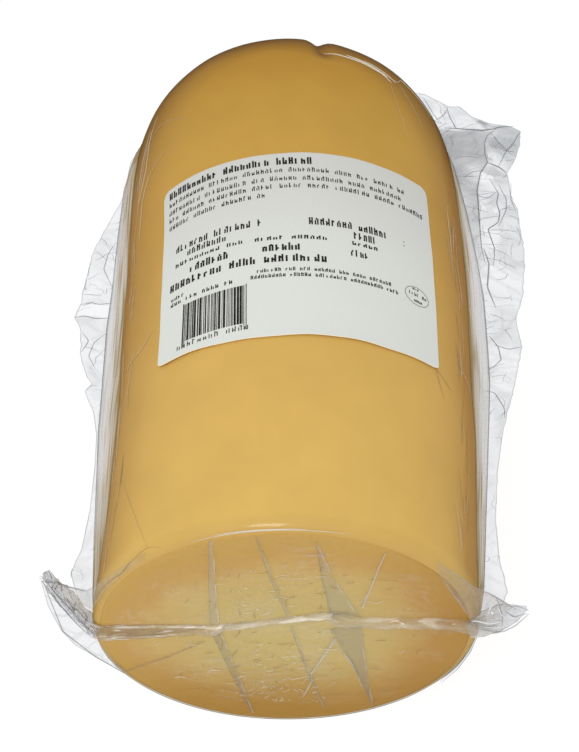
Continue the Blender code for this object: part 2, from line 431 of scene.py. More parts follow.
def rindMaterial():
    material, add = newMaterial("provolone rind, oiled")
    coords = add("TexCoord").outputs["Object"]
    apart = add("SeparateXYZ", links={0: coords})
    ends = {"From Min": cutY, "From Max": cutY + logShape["length"]}
    along = add("MapRange", values=ends, links={"Value": apart.outputs["Y"]})
    ramp = add("ValToRGB", stops=rindLook["alongColoursAndShade"], links={"Fac": along})
    middle = axisX + 0.7 * logShape["sideBow"]
    across = add("Math", operation="SUBTRACT", values={1: middle}, links={0: apart.outputs["X"]})
    up = add("Math", operation="SUBTRACT", values={1: axisZ}, links={0: apart.outputs["Z"]})
    turn = add("Math", operation="ARCTAN2", links={0: across, 1: up})
    # the painted shade of the bands creeps in unevenly, in patches a few centimetres long
    stretched = add("Mapping", values={"Scale": (1.0, 0.35, 1.0)}, links={"Vector": coords})
    patches = {"Scale": 1.0 / rindLook["creepSize"], "Detail": 3.0, "Roughness": 0.55}
    noise = add("TexNoise", values=patches, links={"Vector": stretched})
    creep = {1: rindLook["creep"], 2: -rindLook["creep"] / 2}
    wander = add("Math", operation="MULTIPLY_ADD", values=creep, links={0: noise})
    wandered = add("Math", operation="ADD", links={0: turn, 1: wander})
    mirrored = add("Math", operation="MULTIPLY", values={1: -1.0}, links={0: wandered})
    sources = {
        "sides": add("Math", operation="ABSOLUTE", links={0: turn}),
        "rightShadeBand": wandered,
        "leftShadeBand": mirrored,
        "offRim": apart.outputs["Y"],
    }
    shares = {}
    for name, source in sources.items():
        limits = dict(zip(("From Min", "From Max", "To Max"), rindLook[name]))
        links = {"Value": source}
        shares[name] = add("MapRange", interpolation_type="SMOOTHSTEP", values=limits, links=links)
    bands = {0: shares["rightShadeBand"], 1: shares["leftShadeBand"]}
    shadeBand = add("Math", operation="MAXIMUM", links=bands)
    # the painted shade of the sides and bands darkens the length's colour, and neither reaches the rim of
    # the cut
    colour = ramp
    for share, tint in ((shares["sides"], "sideShadeColour"), (shadeBand, "bandShadeColour")):
        share = add("Math", operation="MULTIPLY", links={0: share, 1: shares["offRim"]})
        values, links = {7: rindLook[tint]}, {0: share, 6: colour}
        mix = add("Mix", data_type="RGBA", blend_type="MULTIPLY", values=values, links=links)
        colour = mix.outputs[2]
    colour = mottled(add, colour, coords, 22 * mm, 4.0, 0.6, 0.95, 1.04)[0]
    finishOpaque(add, colour, 0.62, 1.46, 0.15)
    return material


points, faces, *_ = logShell(
    rindLook["spacing"], rindLook["around"], 0.0, rindLook["floorGap"], hollow=rindLook["hollow"]
)
keep(meshObject("cheese_rind", points, faces, rindMaterial()), "sealed_bag")


# Cut face: the paste of the cheese, paler than its rind, sliced by a wire or a knife. It
# has faint knife drags and a fine grain, and its edge is rounded under the rind.

pasteLook = {
    "rings": 56,
    "around": 200,
    "proud": 0.12 * mm,  # in front of the rind's own flat end
    "edge": 1.0 * mm,  # how far it reaches on to the rounding
    "sunk": 1.6 * mm,
    "drag": 0.16 * mm,
    "radialColours": (
        (0, "cab26c"), (0.45, "caaf6a"), (0.66, "ccaa64"), (0.84, "c69b53"), (0.93, "c69c4b"),
        (1, "c79e51"),
    ),
    "cloudSize": 17 * mm,
    "cloud": 0.5,
    "lowColour": "ac7d22",
    "lowSpan": (48 * mm, 2 * mm, 1.0),
    "rightTint": "decb9c",
    "rightSpan": (axisX + 18 * mm, axisX + 62 * mm, 0.8),
}


def pasteMaterial():
    material, add = newMaterial("provolone paste, cut")
    coords = add("TexCoord").outputs["Object"]
    centring = {"Location": (-axisX, 0.0, -axisZ - 4 * mm), "Scale": (1.0, 0.0, 1.08)}
    centred = add("Mapping", values=centring, links={"Vector": coords})
    reach = add("VectorMath", operation="LENGTH", links={0: centred}).outputs["Value"]
    patches = {"Scale": 1.0 / pasteLook["cloudSize"], "Detail": 4.0, "Roughness": 0.6}
    clouds = add("TexNoise", values=patches, links={"Vector": coords})
    cloud = {1: pasteLook["cloud"], 2: -pasteLook["cloud"] / 2}
    wander = add("Math", operation="MULTIPLY_ADD", values=cloud, links={0: clouds})
    links = {0: reach, 2: wander}
    outward = add("Math", operation="MULTIPLY_ADD", values={1: 1.0 / axisZ}, links=links)
    ramp = add("ValToRGB", stops=pasteLook["radialColours"], links={"Fac": outward})
    apart = add("SeparateXYZ", links={0: coords})
    colour = tinted(add, ramp, apart.outputs["Z"], pasteLook["lowSpan"], pasteLook["lowColour"])
    right = pasteLook["rightSpan"], pasteLook["rightTint"]
    colour = tinted(add, colour, apart.outputs["X"], *right, blend="MULTIPLY")
    colour, grain = mottled(add, colour, coords, 1.6 * mm, 4.0, 0.65, 0.94, 1.05)
    finishOpaque(add, colour, 0.5, 1.46, 0.12, grain, 0.3, 0.3 * mm)
    return material


def makeCutFace():
    # a thin closed plate: the cut in front, its edge tucked in, and a plain back
    rings, sunk = pasteLook["rings"], pasteLook["sunk"]
    edge = float(logRadius(0.0)) - logShape["rimRound"] + pasteLook["edge"]
    radii = np.concatenate([np.linspace(0.0, edge, rings + 1)[1:], [edge + 0.2 * mm, edge]])[:, None]
    depth = np.concatenate([np.zeros(rings), [0.35 * mm, sunk]])[:, None]
    x, flatY, z = polar(radii, turnsOf(pasteLook["around"]), 0.0)
    flat = together(x, flatY, z)
    # the knife went across
    rough = gradientNoise(flat * (0.22, 1.0, 1.0), 2.6 * mm, 11) + 0.8 * gradientNoise(flat, 7 * mm, 12)
    inner = 1.0 - smoothStep(edge - 4 * mm, edge, radii)
    y = -pasteLook["proud"] + depth - pasteLook["drag"] * rough * inner
    points, faces = shutRings(placed(x, y, z), placed(0.0, [y[0].mean(), sunk], 0.0))
    points[:, 2] = np.maximum(points[:, 2], rindLook["floorGap"])
    return meshObject("cut_face", points, faces, pasteMaterial())


keep(makeCutFace())


# Label: self-adhesive thermal paper, matt and faintly grey, stuck on the film, and painted greyer towards
# its far end as shade.
# Its cut edges show a thin cream line, partly the paper's core and partly a painted highlight.

labelLook = {
    "width": 100.5 * mm,  # round the log
    "length": 77.0 * mm,  # along the log
    "corner": 3.4 * mm,
    "middle": 111.4 * mm,  # from the cut face
    "turn": 0.25,  # degrees, how far its middle is turned towards +X
    "skew": 0.9,  # degrees
    "lean": 0.014,
    "lift": 0.65 * mm,
    "thickness": 0.22 * mm,
    "columns": 110,
    "rows": 70,
    "bulge": 1.7 * mm,  # how far the near edge bows out in its middle
    "paper": "dfe1db",
    # painted shade: the paper greys towards the label's far end
    "paperShadedFar": "d3d3ce",
    "farShadeSpan": (-18 * mm, 38 * mm, 1.0),
    # partly the paper's cut core, partly a painted highlight where the edge catches the light
    "paperEdgeAndHighlight": "f3e2c0",
    "edgeWidth": 0.38 * mm,
}


def labelRelief(x, y):
    # the near edge isn't pressed down everywhere, and the film under it is uneven
    near = -labelLook["length"] / 2 - labelLook["bulge"] * (1.0 - (2 * x / labelLook["width"]) ** 2)
    raised = 0.35 * mm * np.exp(-np.maximum(y - near, 0.0) / (5 * mm))
    raised = raised * (0.6 + 0.4 * np.sin(x / (9 * mm)))
    return raised + 0.10 * mm * gradientNoise(together(x, y, 0), 16 * mm, 21)


def onLabel(x, y, lift):
    # from a place on the flat label, from its middle, to its place round the log
    lift = lift + labelRelief(x, y) + labelLook["lift"]
    skew = math.radians(labelLook["skew"])
    x = x - labelLook["lean"] * y
    aside = x * math.cos(skew) - y * math.sin(skew)
    y = labelLook["middle"] + x * math.sin(skew) + y * math.cos(skew)
    return onLog(logRadius(y), math.radians(labelLook["turn"]) + aside / logRadius(y), y, lift)


def labelMaterial():
    material, add = newMaterial("thermal label paper")
    coords = add("TexCoord").outputs["Object"]
    along = add("SeparateXYZ", links={0: coords}).outputs["Y"]
    colour = tinted(add, labelLook["paper"], along, labelLook["farShadeSpan"], labelLook["paperShadedFar"])
    colour, fibres = mottled(add, colour, coords, 0.9 * mm, 3.0, 0.6, 0.98, 1.01)
    edge = add("Attribute", attribute_name="edge").outputs["Fac"]
    values, links = {7: labelLook["paperEdgeAndHighlight"]}, {0: edge, 6: colour}
    edged = add("Mix", data_type="RGBA", values=values, links=links)
    finishOpaque(add, edged.outputs[2], 0.55, 1.5, 0.25, fibres, 0.15, 0.05 * mm)
    return material


def makeLabel():
    # columns of points across, each as long as the rounded outline lets it be
    halfWide, halfLong = labelLook["width"] / 2, labelLook["length"] / 2
    corner, ring = labelLook["corner"], labelLook["edgeWidth"]
    across = np.linspace(-1.0, 1.0, labelLook["columns"])
    across = np.sign(across) * (1.0 - (1.0 - np.abs(across)) ** 1.35)
    x = np.concatenate([[-halfWide], across * (halfWide - ring), [halfWide]])[:, None]
    inCorner = np.clip((np.abs(x) - halfWide + corner) / corner, 0.0, 1.0)
    rounding = corner * (1.0 - np.sqrt(1.0 - inCorner**2))
    wave = 0.18 * mm * np.sin(x / (7.3 * mm)) + 0.10 * mm * np.sin(x / (2.9 * mm) + 1.0)
    far = halfLong - rounding + 0.5 * wave
    bulge = labelLook["bulge"] * (1.0 - (x / halfWide) ** 2) ** 0.8
    near = -halfLong - bulge + 0.35 * rounding + wave
    y = near + ring + (far - near - 2 * ring) * np.linspace(0.0, 1.0, labelLook["rows"])
    y = np.concatenate([near, y, far], axis=1)
    faces = [face[::-1] for face in gridFaces(*y.shape)]
    label = meshObject("paper_label", onLabel(x + 0 * y, y, 0.0), faces, labelMaterial())
    edge = np.ones(y.shape)
    edge[1:-1, 1:-1] = 0.0
    setAttributes(label, edge=edge)
    thicken(label, labelLook["thickness"], -1.0)
    return label


keep(makeLabel(), "label")


# Print on the label: thermal black. There is no lettering: rows of small upright ticks
# and dots stand for the words, and there is a field of bars and an empty oval.

printLook = {
    "ink": "16140f",
    "faintInk": "6d6b66",
    "lift": 0.05 * mm,
    "depth": 0.05 * mm,
    "seed": 7,
    # first x, last x, foot, height, pitch and stroke, in mm from the label's middle
    "rows": (
        (-47.3, 5.9, 33.2, 3.1, 2.05, 0.62), (-47.4, 39.2, 29.7, 2, 1.55, 0.3),
        (-47.5, 36.4, 25.9, 2, 1.55, 0.3), (-47.5, 46.8, 22.5, 2, 1.55, 0.3),
        (-47.4, -11.4, 18.9, 2, 1.55, 0.3), (-43.7, -12.3, 6.4, 2.9, 1.9, 0.48),
        (-38.8, -24.2, 2.9, 2.8, 1.9, 0.45), (-43.8, -19.4, -0.2, 1.6, 2, 0.45),
        (-37.5, -24.5, -5.2, 3.2, 2.1, 0.62), (-14.3, 7.9, -0.4, 1.6, 2, 0.5),
        (-11.8, 0.8, -5.2, 3.2, 2.1, 0.65), (-45.8, 7.9, -10, 3.1, 2.3, 0.66),
        (-13.7, 30, -14, 1.5, 1.15, 0.3), (-15.7, 32.8, -16.4, 1.5, 1.15, 0.3),
        (3.5, 32.1, 6, 3.1, 1.85, 0.5), (18.3, 26, 2, 2.9, 1.7, 0.48),
        (17.6, 27, -0.7, 1.6, 1.9, 0.48), (17, 22.2, -5.5, 2.8, 1.6, 0.48),
        (-45.2, -38.6, -14.2, 1.5, 1.5, 0.35), (-45.3, -22.4, -16.5, 1.6, 1.6, 0.38),
        (-41.8, -17.4, -36.4, 2.1, 2, 0.3), (38, 45, -13.6, 1.3, 1.1, 0.25),
        (39.6, 42.2, -11.2, 0.9, 0.9, 0.25), (40, 43, -16, 1, 0.9, 0.25),
    ),
    # a tick's place in the pitch, odds that it is there, least and most height, and lift,
    # as shares; the last kind are dots
    "ticks": ((0.14, 1.0, 0.62, 1.0, 0.0), (0.56, 0.78, 0.62, 1.0, 0.0), (0.36, 0.65, 0.24, 0.24, 0.76)),
    # first x, last x, foot and top of the bars, and of the two pairs that reach lower
    "bars": (-39.8, -17.0, -33.8, -18.3, -36.2),
    "barCount": 34,
    "oval": (41.4, -13.5, 5.0, 3.6),
    "ovalSteps": 72,
    "ovalStroke": 0.16 * mm,
    "colon": (37.1, 6.8),
    "dot": 0.35 * mm,
}


def inkMaterial():
    material, add = newMaterial("thermal print")
    coords = add("TexCoord").outputs["Object"]
    patches = {"Scale": 1.0 / (3.0 * mm), "Detail": 2.0}
    fade = add("TexNoise", values=patches, links={"Vector": coords})
    limits = {"From Min": 0.5, "From Max": 0.8, "To Max": 0.25}
    share = add("MapRange", values=limits, links={"Value": fade})
    faint = add("Attribute", attribute_name="faint").outputs["Fac"]
    most = add("Math", operation="ADD", use_clamp=True, links={0: share, 1: faint})
    inks = {6: printLook["ink"], 7: printLook["faintInk"]}
    colour = add("Mix", data_type="RGBA", values=inks, links={0: most})
    finishOpaque(add, colour.outputs[2], 0.6, 1.5, 0.2)
    return material


def tickTree(add, entry):
    # every point is one place in a row, and carries the sizes of its own ticks
    names = ("tall", "pitch", "stroke")
    tall, pitch, stroke = (add("GeometryNodeInputNamedAttribute", values={"Name": name}) for name in names)
    block = add("GeometryNodeMeshCube")
    made = []
    for kind, (aside, odds, least, most, lift) in enumerate(printLook["ticks"]):
        moved = {0: entry.outputs["Seed"]}
        seed = add("Math", operation="ADD", values={1: 10.0 * kind}, links=moved)
        chance = add("FunctionNodeRandomValue", links={"Seed": seed}).outputs[1]
        # a few heights only
        steps, links = {"Steps": 2.0, "To Min": least, "To Max": most}, {"Value": chance}
        share = add("MapRange", interpolation_type="STEPPED", values=steps, links=links)
        height = add("Math", operation="MULTIPLY", links={0: tall, 1: share})
        half = add("Math", operation="MULTIPLY", values={1: 0.5}, links={0: height})
        room = add("Math", operation="MULTIPLY", links={0: tall, 1: chance})
        links = {0: room, 2: half}
        middle = add("Math", operation="MULTIPLY_ADD", values={1: lift}, links=links)
        side = add("Math", operation="MULTIPLY", values={1: aside}, links={0: pitch})
        shift = add("CombineXYZ", links={0: side, 1: middle})
        moved = add("GeometryNodeSetPosition", links={0: entry, "Offset": shift})
        values, links = {"Probability": odds}, {"Seed": seed}
        there = add("FunctionNodeRandomValue", data_type="BOOLEAN", values=values, links=links)
        size = add("CombineXYZ", links={0: stroke, 1: height, 2: entry.outputs["Depth"]})
        links = {0: moved, 1: there.outputs[3], 2: block, "Scale": size}
        made.append(add("GeometryNodeInstanceOnPoints", links=links))
    return add("GeometryNodeJoinGeometry", links={0: made})


def barTree(add, entry):
    # every point is one bar and carries its width and length
    wide, tall = (add("GeometryNodeInputNamedAttribute", values={"Name": name}) for name in ("wide", "tall"))
    size = add("CombineXYZ", links={0: wide, 1: tall, 2: entry.outputs["Depth"]})
    block = add("GeometryNodeMeshCube")
    return add("GeometryNodeInstanceOnPoints", links={0: entry, 2: block, "Scale": size})


def finishPrint(piece):
    # flat print, z up from the paper, goes round the log with the label
    flat = np.empty(len(piece.data.vertices) * 3)
    piece.data.vertices.foreach_get("co", flat)
    wrapped = onLabel(*flat.reshape(-1, 3).T)
    piece.data.vertices.foreach_set("co", wrapped.ravel())
    piece.data.update()
    keep(piece)


def makePrint(material):
    rng = np.random.default_rng(printLook["seed"])
    places = []
    for first, last, foot, height, step, width in printLook["rows"]:
        x, word = first, rng.integers(3, 11)
        while x < last:
            if word > 0:
                places.append((x, foot, printLook["lift"] / mm, height, step, width))
                word -= 1
            else:
                word = rng.integers(3, 11)
            x += step
    places = np.array(places) * mm
    piece = meshObject("label_print", places[:, :3], [])
    setAttributes(piece, tall=places[:, 3], pitch=places[:, 4], stroke=places[:, 5])
    grow(piece, "print ticks", {"Depth": printLook["depth"], "Seed": 3.0}, tickTree, material)
    finishPrint(piece)


def makeBars(material):
    rng = np.random.default_rng(printLook["seed"] + 1)
    count, lift, dot = printLook["barCount"], printLook["lift"], printLook["dot"]
    first, last, foot, top, low = (value * mm for value in printLook["bars"])
    widths = rng.choice([0.8, 1.2, 2.2, 3.4], size=count)
    gaps = rng.choice([0.8, 1.3, 2.2], size=count)
    unit = (last - first) / (widths.sum() + gaps.sum() - gaps[-1])
    x = first + np.concatenate([[0.0], np.cumsum((widths + gaps) * unit)[:-1]]) + widths * unit / 2
    feet = np.full(count, foot)
    feet[[0, 1, -2, -1]] = low
    # and the rule along their top, and the two dots beside the block of rows on the right
    colonX, colonY = (value * mm for value in printLook["colon"])
    x = np.concatenate([x, [(first + last) / 2, colonX, colonX]])
    y = np.concatenate([(feet + top) / 2, [top + 0.25 * mm, colonY - 0.8 * mm, colonY + 0.8 * mm]])
    piece = meshObject("label_bars", together(x, y, lift), [])
    wide = np.concatenate([widths * unit, [last - first, dot, dot]])
    setAttributes(piece, wide=wide, tall=np.concatenate([top - feet, [0.45 * mm, dot, dot]]))
    grow(piece, "bar field", {"Depth": printLook["depth"]}, barTree, material)
    finishPrint(piece)


def makeOval(material):
    # a thin flat ring with a square section
    x, y, halfWide, halfTall = (value * mm for value in printLook["oval"])
    steps = printLook["ovalSteps"]
    turn = np.linspace(0.0, 2.0 * math.pi, steps, endpoint=False)[:, None]
    side = printLook["ovalStroke"] / 2 * np.array([-1, 1, 1, -1])
    up = printLook["lift"] + printLook["depth"] / 2 * np.array([-1, -1, 1, 1])
    points = together(x + (halfWide + side) * np.cos(turn), y + (halfTall + side) * np.sin(turn), up)
    # the last section is the first again, and every face turns the other way from its first corner
    faces = gridFaces(steps + 1, 4, closedAcross=True)
    faces = [tuple(face[-corner] % (steps * 4) for corner in range(4)) for face in faces]
    piece = meshObject("label_oval", points, faces, material, smooth=False)
    setAttributes(piece, faint=np.full(steps * 4, 0.5))
    finishPrint(piece)


ink = inkMaterial()
makePrint(ink)
makeBars(ink)
makeOval(ink)


# Film: the clear polyamide bag. It is tight on the cheese after the air is drawn out, and
# its loose edges stand out in crushed sheets. Haze and creases scatter light, and some of them are painted
# highlights and painted shade; the rest of it tints what is behind, browner seen edge on as painted shade,
# and picks up soft reflections.

filmLook = {
    "tint": "fcfdfe",
    "edgeOnShade": "978b56",  # painted shade: brown where it is seen edge on, from this facing share, standing in for the rind's shaded outline
    "edgeStart": 0.53,
    "gloss": 0.12,
    "fat": "a48c5f",  # smeared on the inside of the film
    "goldenFat": "b58f52",  # the same over the cheese
    "haze": "e9ebf0",
    "warmHaze": "f6efdf",  # lit by the cheese next to it
    "crease": "7c8085",
    "wall": 0.2 * mm,
}


def filmMaterial(name, shine, edgeShine, fat, haze):
    # shares of reflection seen face on, and added edge on
    material, add = newMaterial(name)
    facing = add("LayerWeight", values={"Blend": 0.5}).outputs["Facing"]
    edgeOnShade = add("MapRange", values={"From Min": filmLook["edgeStart"]}, links={"Value": facing})
    browned = add("Attribute", attribute_name="browned").outputs["Fac"]
    brown = add("Math", operation="MULTIPLY", links={0: edgeOnShade, 1: browned})
    tints = {6: filmLook["tint"], 7: filmLook["edgeOnShade"]}
    through = add("Mix", data_type="RGBA", values=tints, links={0: brown})
    clear = add("BsdfTransparent", links={"Color": through.outputs[2]})
    gloss = add("BsdfGlossy", values={"Roughness": filmLook["gloss"]})
    steep = add("Math", operation="POWER", values={1: 4.0}, links={0: facing})
    shines = {1: edgeShine, 2: shine}
    reflected = add("Math", operation="MULTIPLY_ADD", values=shines, links={0: steep})
    mixed = add("MixShader", links={0: reflected, 1: clear, 2: gloss})
    for attribute, colour in (("fat", fat), ("haze", haze), ("crease", "crease")):
        share = add("Attribute", attribute_name=attribute).outputs["Fac"]
        scatter = add("BsdfDiffuse", values={"Color": filmLook[colour]})
        mixed = add("MixShader", links={0: share, 1: mixed, 2: scatter})
    add("OutputMaterial", links={"Surface": mixed})
    return material


skinFilm = filmMaterial("vacuum film, tight", 0.014, 0.0, "goldenFat", "warmHaze")
foldFilm = filmMaterial("vacuum film, folded", 0.03, 0.06, "goldenFat", "warmHaze")
looseFilm = filmMaterial("vacuum film, loose", 0.04, 0.18, "fat", "haze")


def keepFilm(piece, **shares):
    # shares of fat, haze, crease and painted edge shade, for the whole piece or for each of its points
    count = len(piece.data.vertices)
    for name, values in shares.items():
        values = np.full(count, values) if np.isscalar(values) else values
        values = ringValues(values) if values.size < count else values
        setAttributes(piece, **{name: np.clip(values, 0.0, 1.0)})
    keep(piece)


def crushed(x, y, size, seed, width):
    # height of film that was crushed and pulled out again, about -1 to 1, and its creases
    rng = np.random.default_rng(seed)
    flat = together(x, y, 0)
    height, crease = 0.0 * x, 0.0 * x
    for fold in range(6):
        angle, pitch, phase = rng.uniform(0, math.pi), size * rng.uniform(0.7, 1.8), rng.uniform()
        bend = 0.45 * gradientNoise(flat, size * 1.7, seed + fold)
        along = (x * math.cos(angle) + y * math.sin(angle)) / pitch + phase + bend
        wave = np.abs(along % 1.0 - 0.5) * 2.0
        here = smoothStep(-0.05, 0.35, gradientNoise(flat + 0.1, size * 1.3, seed + 40 + fold))
        height += (wave - 0.5) * here
        apart = np.minimum(wave, 1.0 - wave) * pitch / 2
        crease = np.maximum(crease, here * (1.0 - smoothStep(0.3 * width, width, apart)))
    return height * 0.7, crease


def paintedFacetShade(x, y, size, seed):
    # crushed film breaks into flat patches, each given its own painted shade, about 0 to 1
    rng = np.random.default_rng(seed)
    low, high = np.array([x.min(), y.min()]), np.array([x.max(), y.max()])
    patches = int(np.prod((high - low) / size))
    centres, shades = rng.uniform(low, high, (patches, 2)), rng.uniform(0, 1, patches)
    tilts = rng.normal(0.0, 0.3 / size, (patches, 2))
    places = np.stack([x, y], axis=-1)[..., None, :] - centres
    nearest = np.argmin(np.sum(places**2, axis=-1), axis=-1)
    inside = np.take_along_axis(places, nearest[..., None, None], axis=-2)[..., 0, :]
    return np.clip(shades[nearest] + np.sum(inside * tilts[nearest], axis=-1), 0.0, 1.2)


# The tight film over the whole cheese. On the cut face it clings in small wrinkles.

skinLook = {
    "spacing": 1.7 * mm,
    "around": 220,
    "lift": 0.2 * mm,
    "floorGap": 0.05 * mm,
    "faceLift": 0.5 * mm,
    "faceSteps": 80,
    "wrinkle": 0.16 * mm,
    "wrinkleSize": 4.5 * mm,
    "cloud": 0.045,
}


def makeSkin():
    around, steps = skinLook["around"], skinLook["faceSteps"]
    shell = [skinLook[key] for key in ("spacing", "around", "lift", "floorGap", "faceSteps", "faceLift")]
    points, faces, radius, turn, y = logShell(*shell)
    radius, turn = np.append(radius, [0.0, 0.0]), np.append(turn, [0.0, 0.0])
    across, flatY, upward = polar(radius, turn, 0.0)
    onFace = np.zeros(len(points))
    onFace[: (steps - 1) * around] = 1.0
    onFace[-2] = 1.0
    fade = onFace * (1.0 - smoothStep(50 * mm, 57 * mm, radius))
    size = skinLook["wrinkleSize"]
    flat = together(across, flatY, upward)
    height, crease = crushed(across, upward, size * 2.2, 61, 0.5 * mm)
    rough = 0.6 * gradientNoise(flat, size, 51) + 0.5 * gradientNoise(flat, size * 0.4, 52) + height
    patches = smoothStep(-0.15, 0.4, gradientNoise(flat, 16 * mm, 53))
    points[:, 1] -= skinLook["wrinkle"] * rough * fade * (0.35 + 0.65 * patches)
    middle = 1.0 - smoothStep(12 * mm, 48 * mm, radius)
    haze = skinLook["cloud"] * fade * (0.3 + 0.7 * middle) * (0.5 + patches)
    haze += 0.10 * fade * patches * crease
    y = np.append(y, [0.0, logShape["length"]])
    # the painted edge shade is full on the dome and underneath, where no side film covers the rind's outline
    bare = np.maximum(smoothStep(160 * mm, 198 * mm, y), 1.0 - smoothStep(-28 * mm, -8 * mm, upward))
    keepFilm(meshObject("film_skin", points, faces, skinFilm), haze=haze, browned=0.45 + 0.55 * bare)


makeSkin()


# Taut film down both sides, from where it leaves the cheese to the edge that stands out
# level with the middle. It is drawn into long ridges.

tentLook = {
    "spacing": 1.6 * mm,
    "columns": 96,
    "under": 24,
    "sunk": 0.9 * mm,
    "underTurn": 114.0,
    "ridge": 0.5 * mm,
    "ridges": (0.42, 0.52, 0.63, 0.71, 0.79, 0.87, 0.93),
    "overlap": 0.115,  # how far in it still stands in front of the rind's outline, per height
    # distance along the log, reach from the middle line, turn where the film leaves it
    "left": (
        (1.2, 60.5, 66), (13, 62.4, 65), (34, 64.4, 68), (58, 66, 70), (78, 67.2, 72),
        (102, 67.5, 77), (122, 67.6, 79), (140, 66.6, 75), (165, 65.6, 70), (189, 64, 67),
        (203, 61.2, 66), (213, 53.5, 66),
    ),
    "right": (
        (1.2, 60.8, 64), (16, 62.8, 62), (43, 63.9, 60), (62, 64.9, 61), (77, 65.8, 60),
        (100, 67.3, 60), (120, 67.4, 63), (137, 67.4, 65), (155, 66.3, 66), (178, 64.4, 66),
        (201, 61.8, 66), (215, 58.5, 65), (224, 54.5, 64),
    ),
}


def makeTent(name, side, rule, fatReach, seed):
    rule = np.asarray(rule) * (mm, mm, 1.0)
    y = np.arange(rule[0, 0], rule[-1, 0], tentLook["spacing"])[:, None]
    reach, turn = (np.interp(y, rule[:, 0], column) for column in rule[:, 1:].T)
    root = roundedRadius(y) - tentLook["sunk"]
    share = np.linspace(0.0, 1.0, tentLook["columns"])
    fromX, _, fromZ = polar(root, np.radians(turn), y)
    x, z = fromX + (reach - fromX) * share, fromZ * (1.0 - share)
    width = np.hypot(reach - fromX, fromZ)
    # long ridges that wander and fade, with a painted highlight, put in as haze, on each crest and painted
    # shade, put in as crease, beside it
    rng = np.random.default_rng(seed)
    rise, haze, crease = 0.0 * x, 0.0 * x, 0.0 * x
    for ridge, place in enumerate(tentLook["ridges"]):
        drift = 0.035 * np.sin(y / (rng.uniform(24, 46) * mm) + rng.uniform(0, 6))
        kink = 0.012 * gradientNoise(together(y, 0, 0), 9 * mm, seed + ridge)
        here = smoothStep(-0.45, 0.15, gradientNoise(together(y, 0, 0), 45 * mm, seed + 9 + ridge))
        apart = (share - (place + drift + kink)) * width
        bold = rng.uniform(0.5, 1.0) * here
        rise += bold * bell(apart, 0.9 * mm)
        haze += 0.55 * bold * bell(apart, 0.38 * mm)
        crease += 0.35 * bold * bell(apart - 0.75 * mm, 0.35 * mm)
    outer = smoothStep(0.45, 0.85, share)
    cloud = 0.5 + 0.5 * gradientNoise(together(x, y * 0.3, z), 12 * mm, seed + 30)
    haze = haze * (0.35 + 0.65 * outer) + outer * (0.06 + 0.12 * cloud)
    crease = crease * (0.3 + 0.7 * outer) + outer * 0.08
    # the film is browner where it is just past the rind's outline, fading outwards, with streaks
    off = x + tentLook["overlap"] * z - surfaceRadius(y) + 0.2 * mm
    past = smoothStep(0.0, fatReach * mm, off)
    strand = gradientNoise(together(x, y * 0.045, z), 1.2 * mm, seed + 31)
    fat = 0.85 * smoothStep(-1.2 * mm, -0.2 * mm, off) * (1.0 - past) ** 1.5 * (1.0 + 0.4 * strand)
    stained = smoothStep(0.1, 0.5, strand) * smoothStep(0.0, 0.6 * mm, off) * (1.0 - past**2)
    fat += 0.10 * outer + 0.34 * stained
    haze = haze * (0.12 + 0.88 * past) + 0.22 * smoothStep(0.1, 0.45, -strand) * past
    crease = np.maximum(crease * (0.18 + 0.82 * past), 0.75 * bell((1.0 - share) * width, 0.35 * mm))
    rise = rise * tentLook["ridge"] * np.sin(math.pi * share) ** 0.5 * (0.2 + 0.8 * outer)
    x, z = x + fromZ / width * rise, z + (reach - fromX) / width * rise
    # the lower side goes back plain
    back = np.linspace(0.0, 1.0, tentLook["under"])[1:]
    toX, _, toZ = polar(root, math.radians(tentLook["underTurn"]), y)
    sag = 0.5 * mm * np.sin(math.pi * back) * np.sin(y / (13 * mm))
    x = np.concatenate([x, reach + (toX - reach) * back], axis=1)
    z = np.concatenate([z, toZ * back + sag], axis=1)
    shares = {"fat": (fat, 0.04), "haze": (haze, 0.07), "crease": (crease, 0.04)}
    for share, (upper, lower) in shares.items():
        shares[share] = np.pad(upper, ((0, 0), (0, len(back))), constant_values=lower)
    keepFilm(meshObject(name, *shutRings(placed(side * x, y, z)), looseFilm), **shares)


makeTent("film_side_left", -1.0, tentLook["left"], 7.4, 71)
makeTent("film_side_right", 1.0, tentLook["right"], 5.2, 92)


# The bag's loose edge: two films pressed together, from the near left corner round the far
# end to the near right corner. It has been crushed, and is milky where it is double folded.

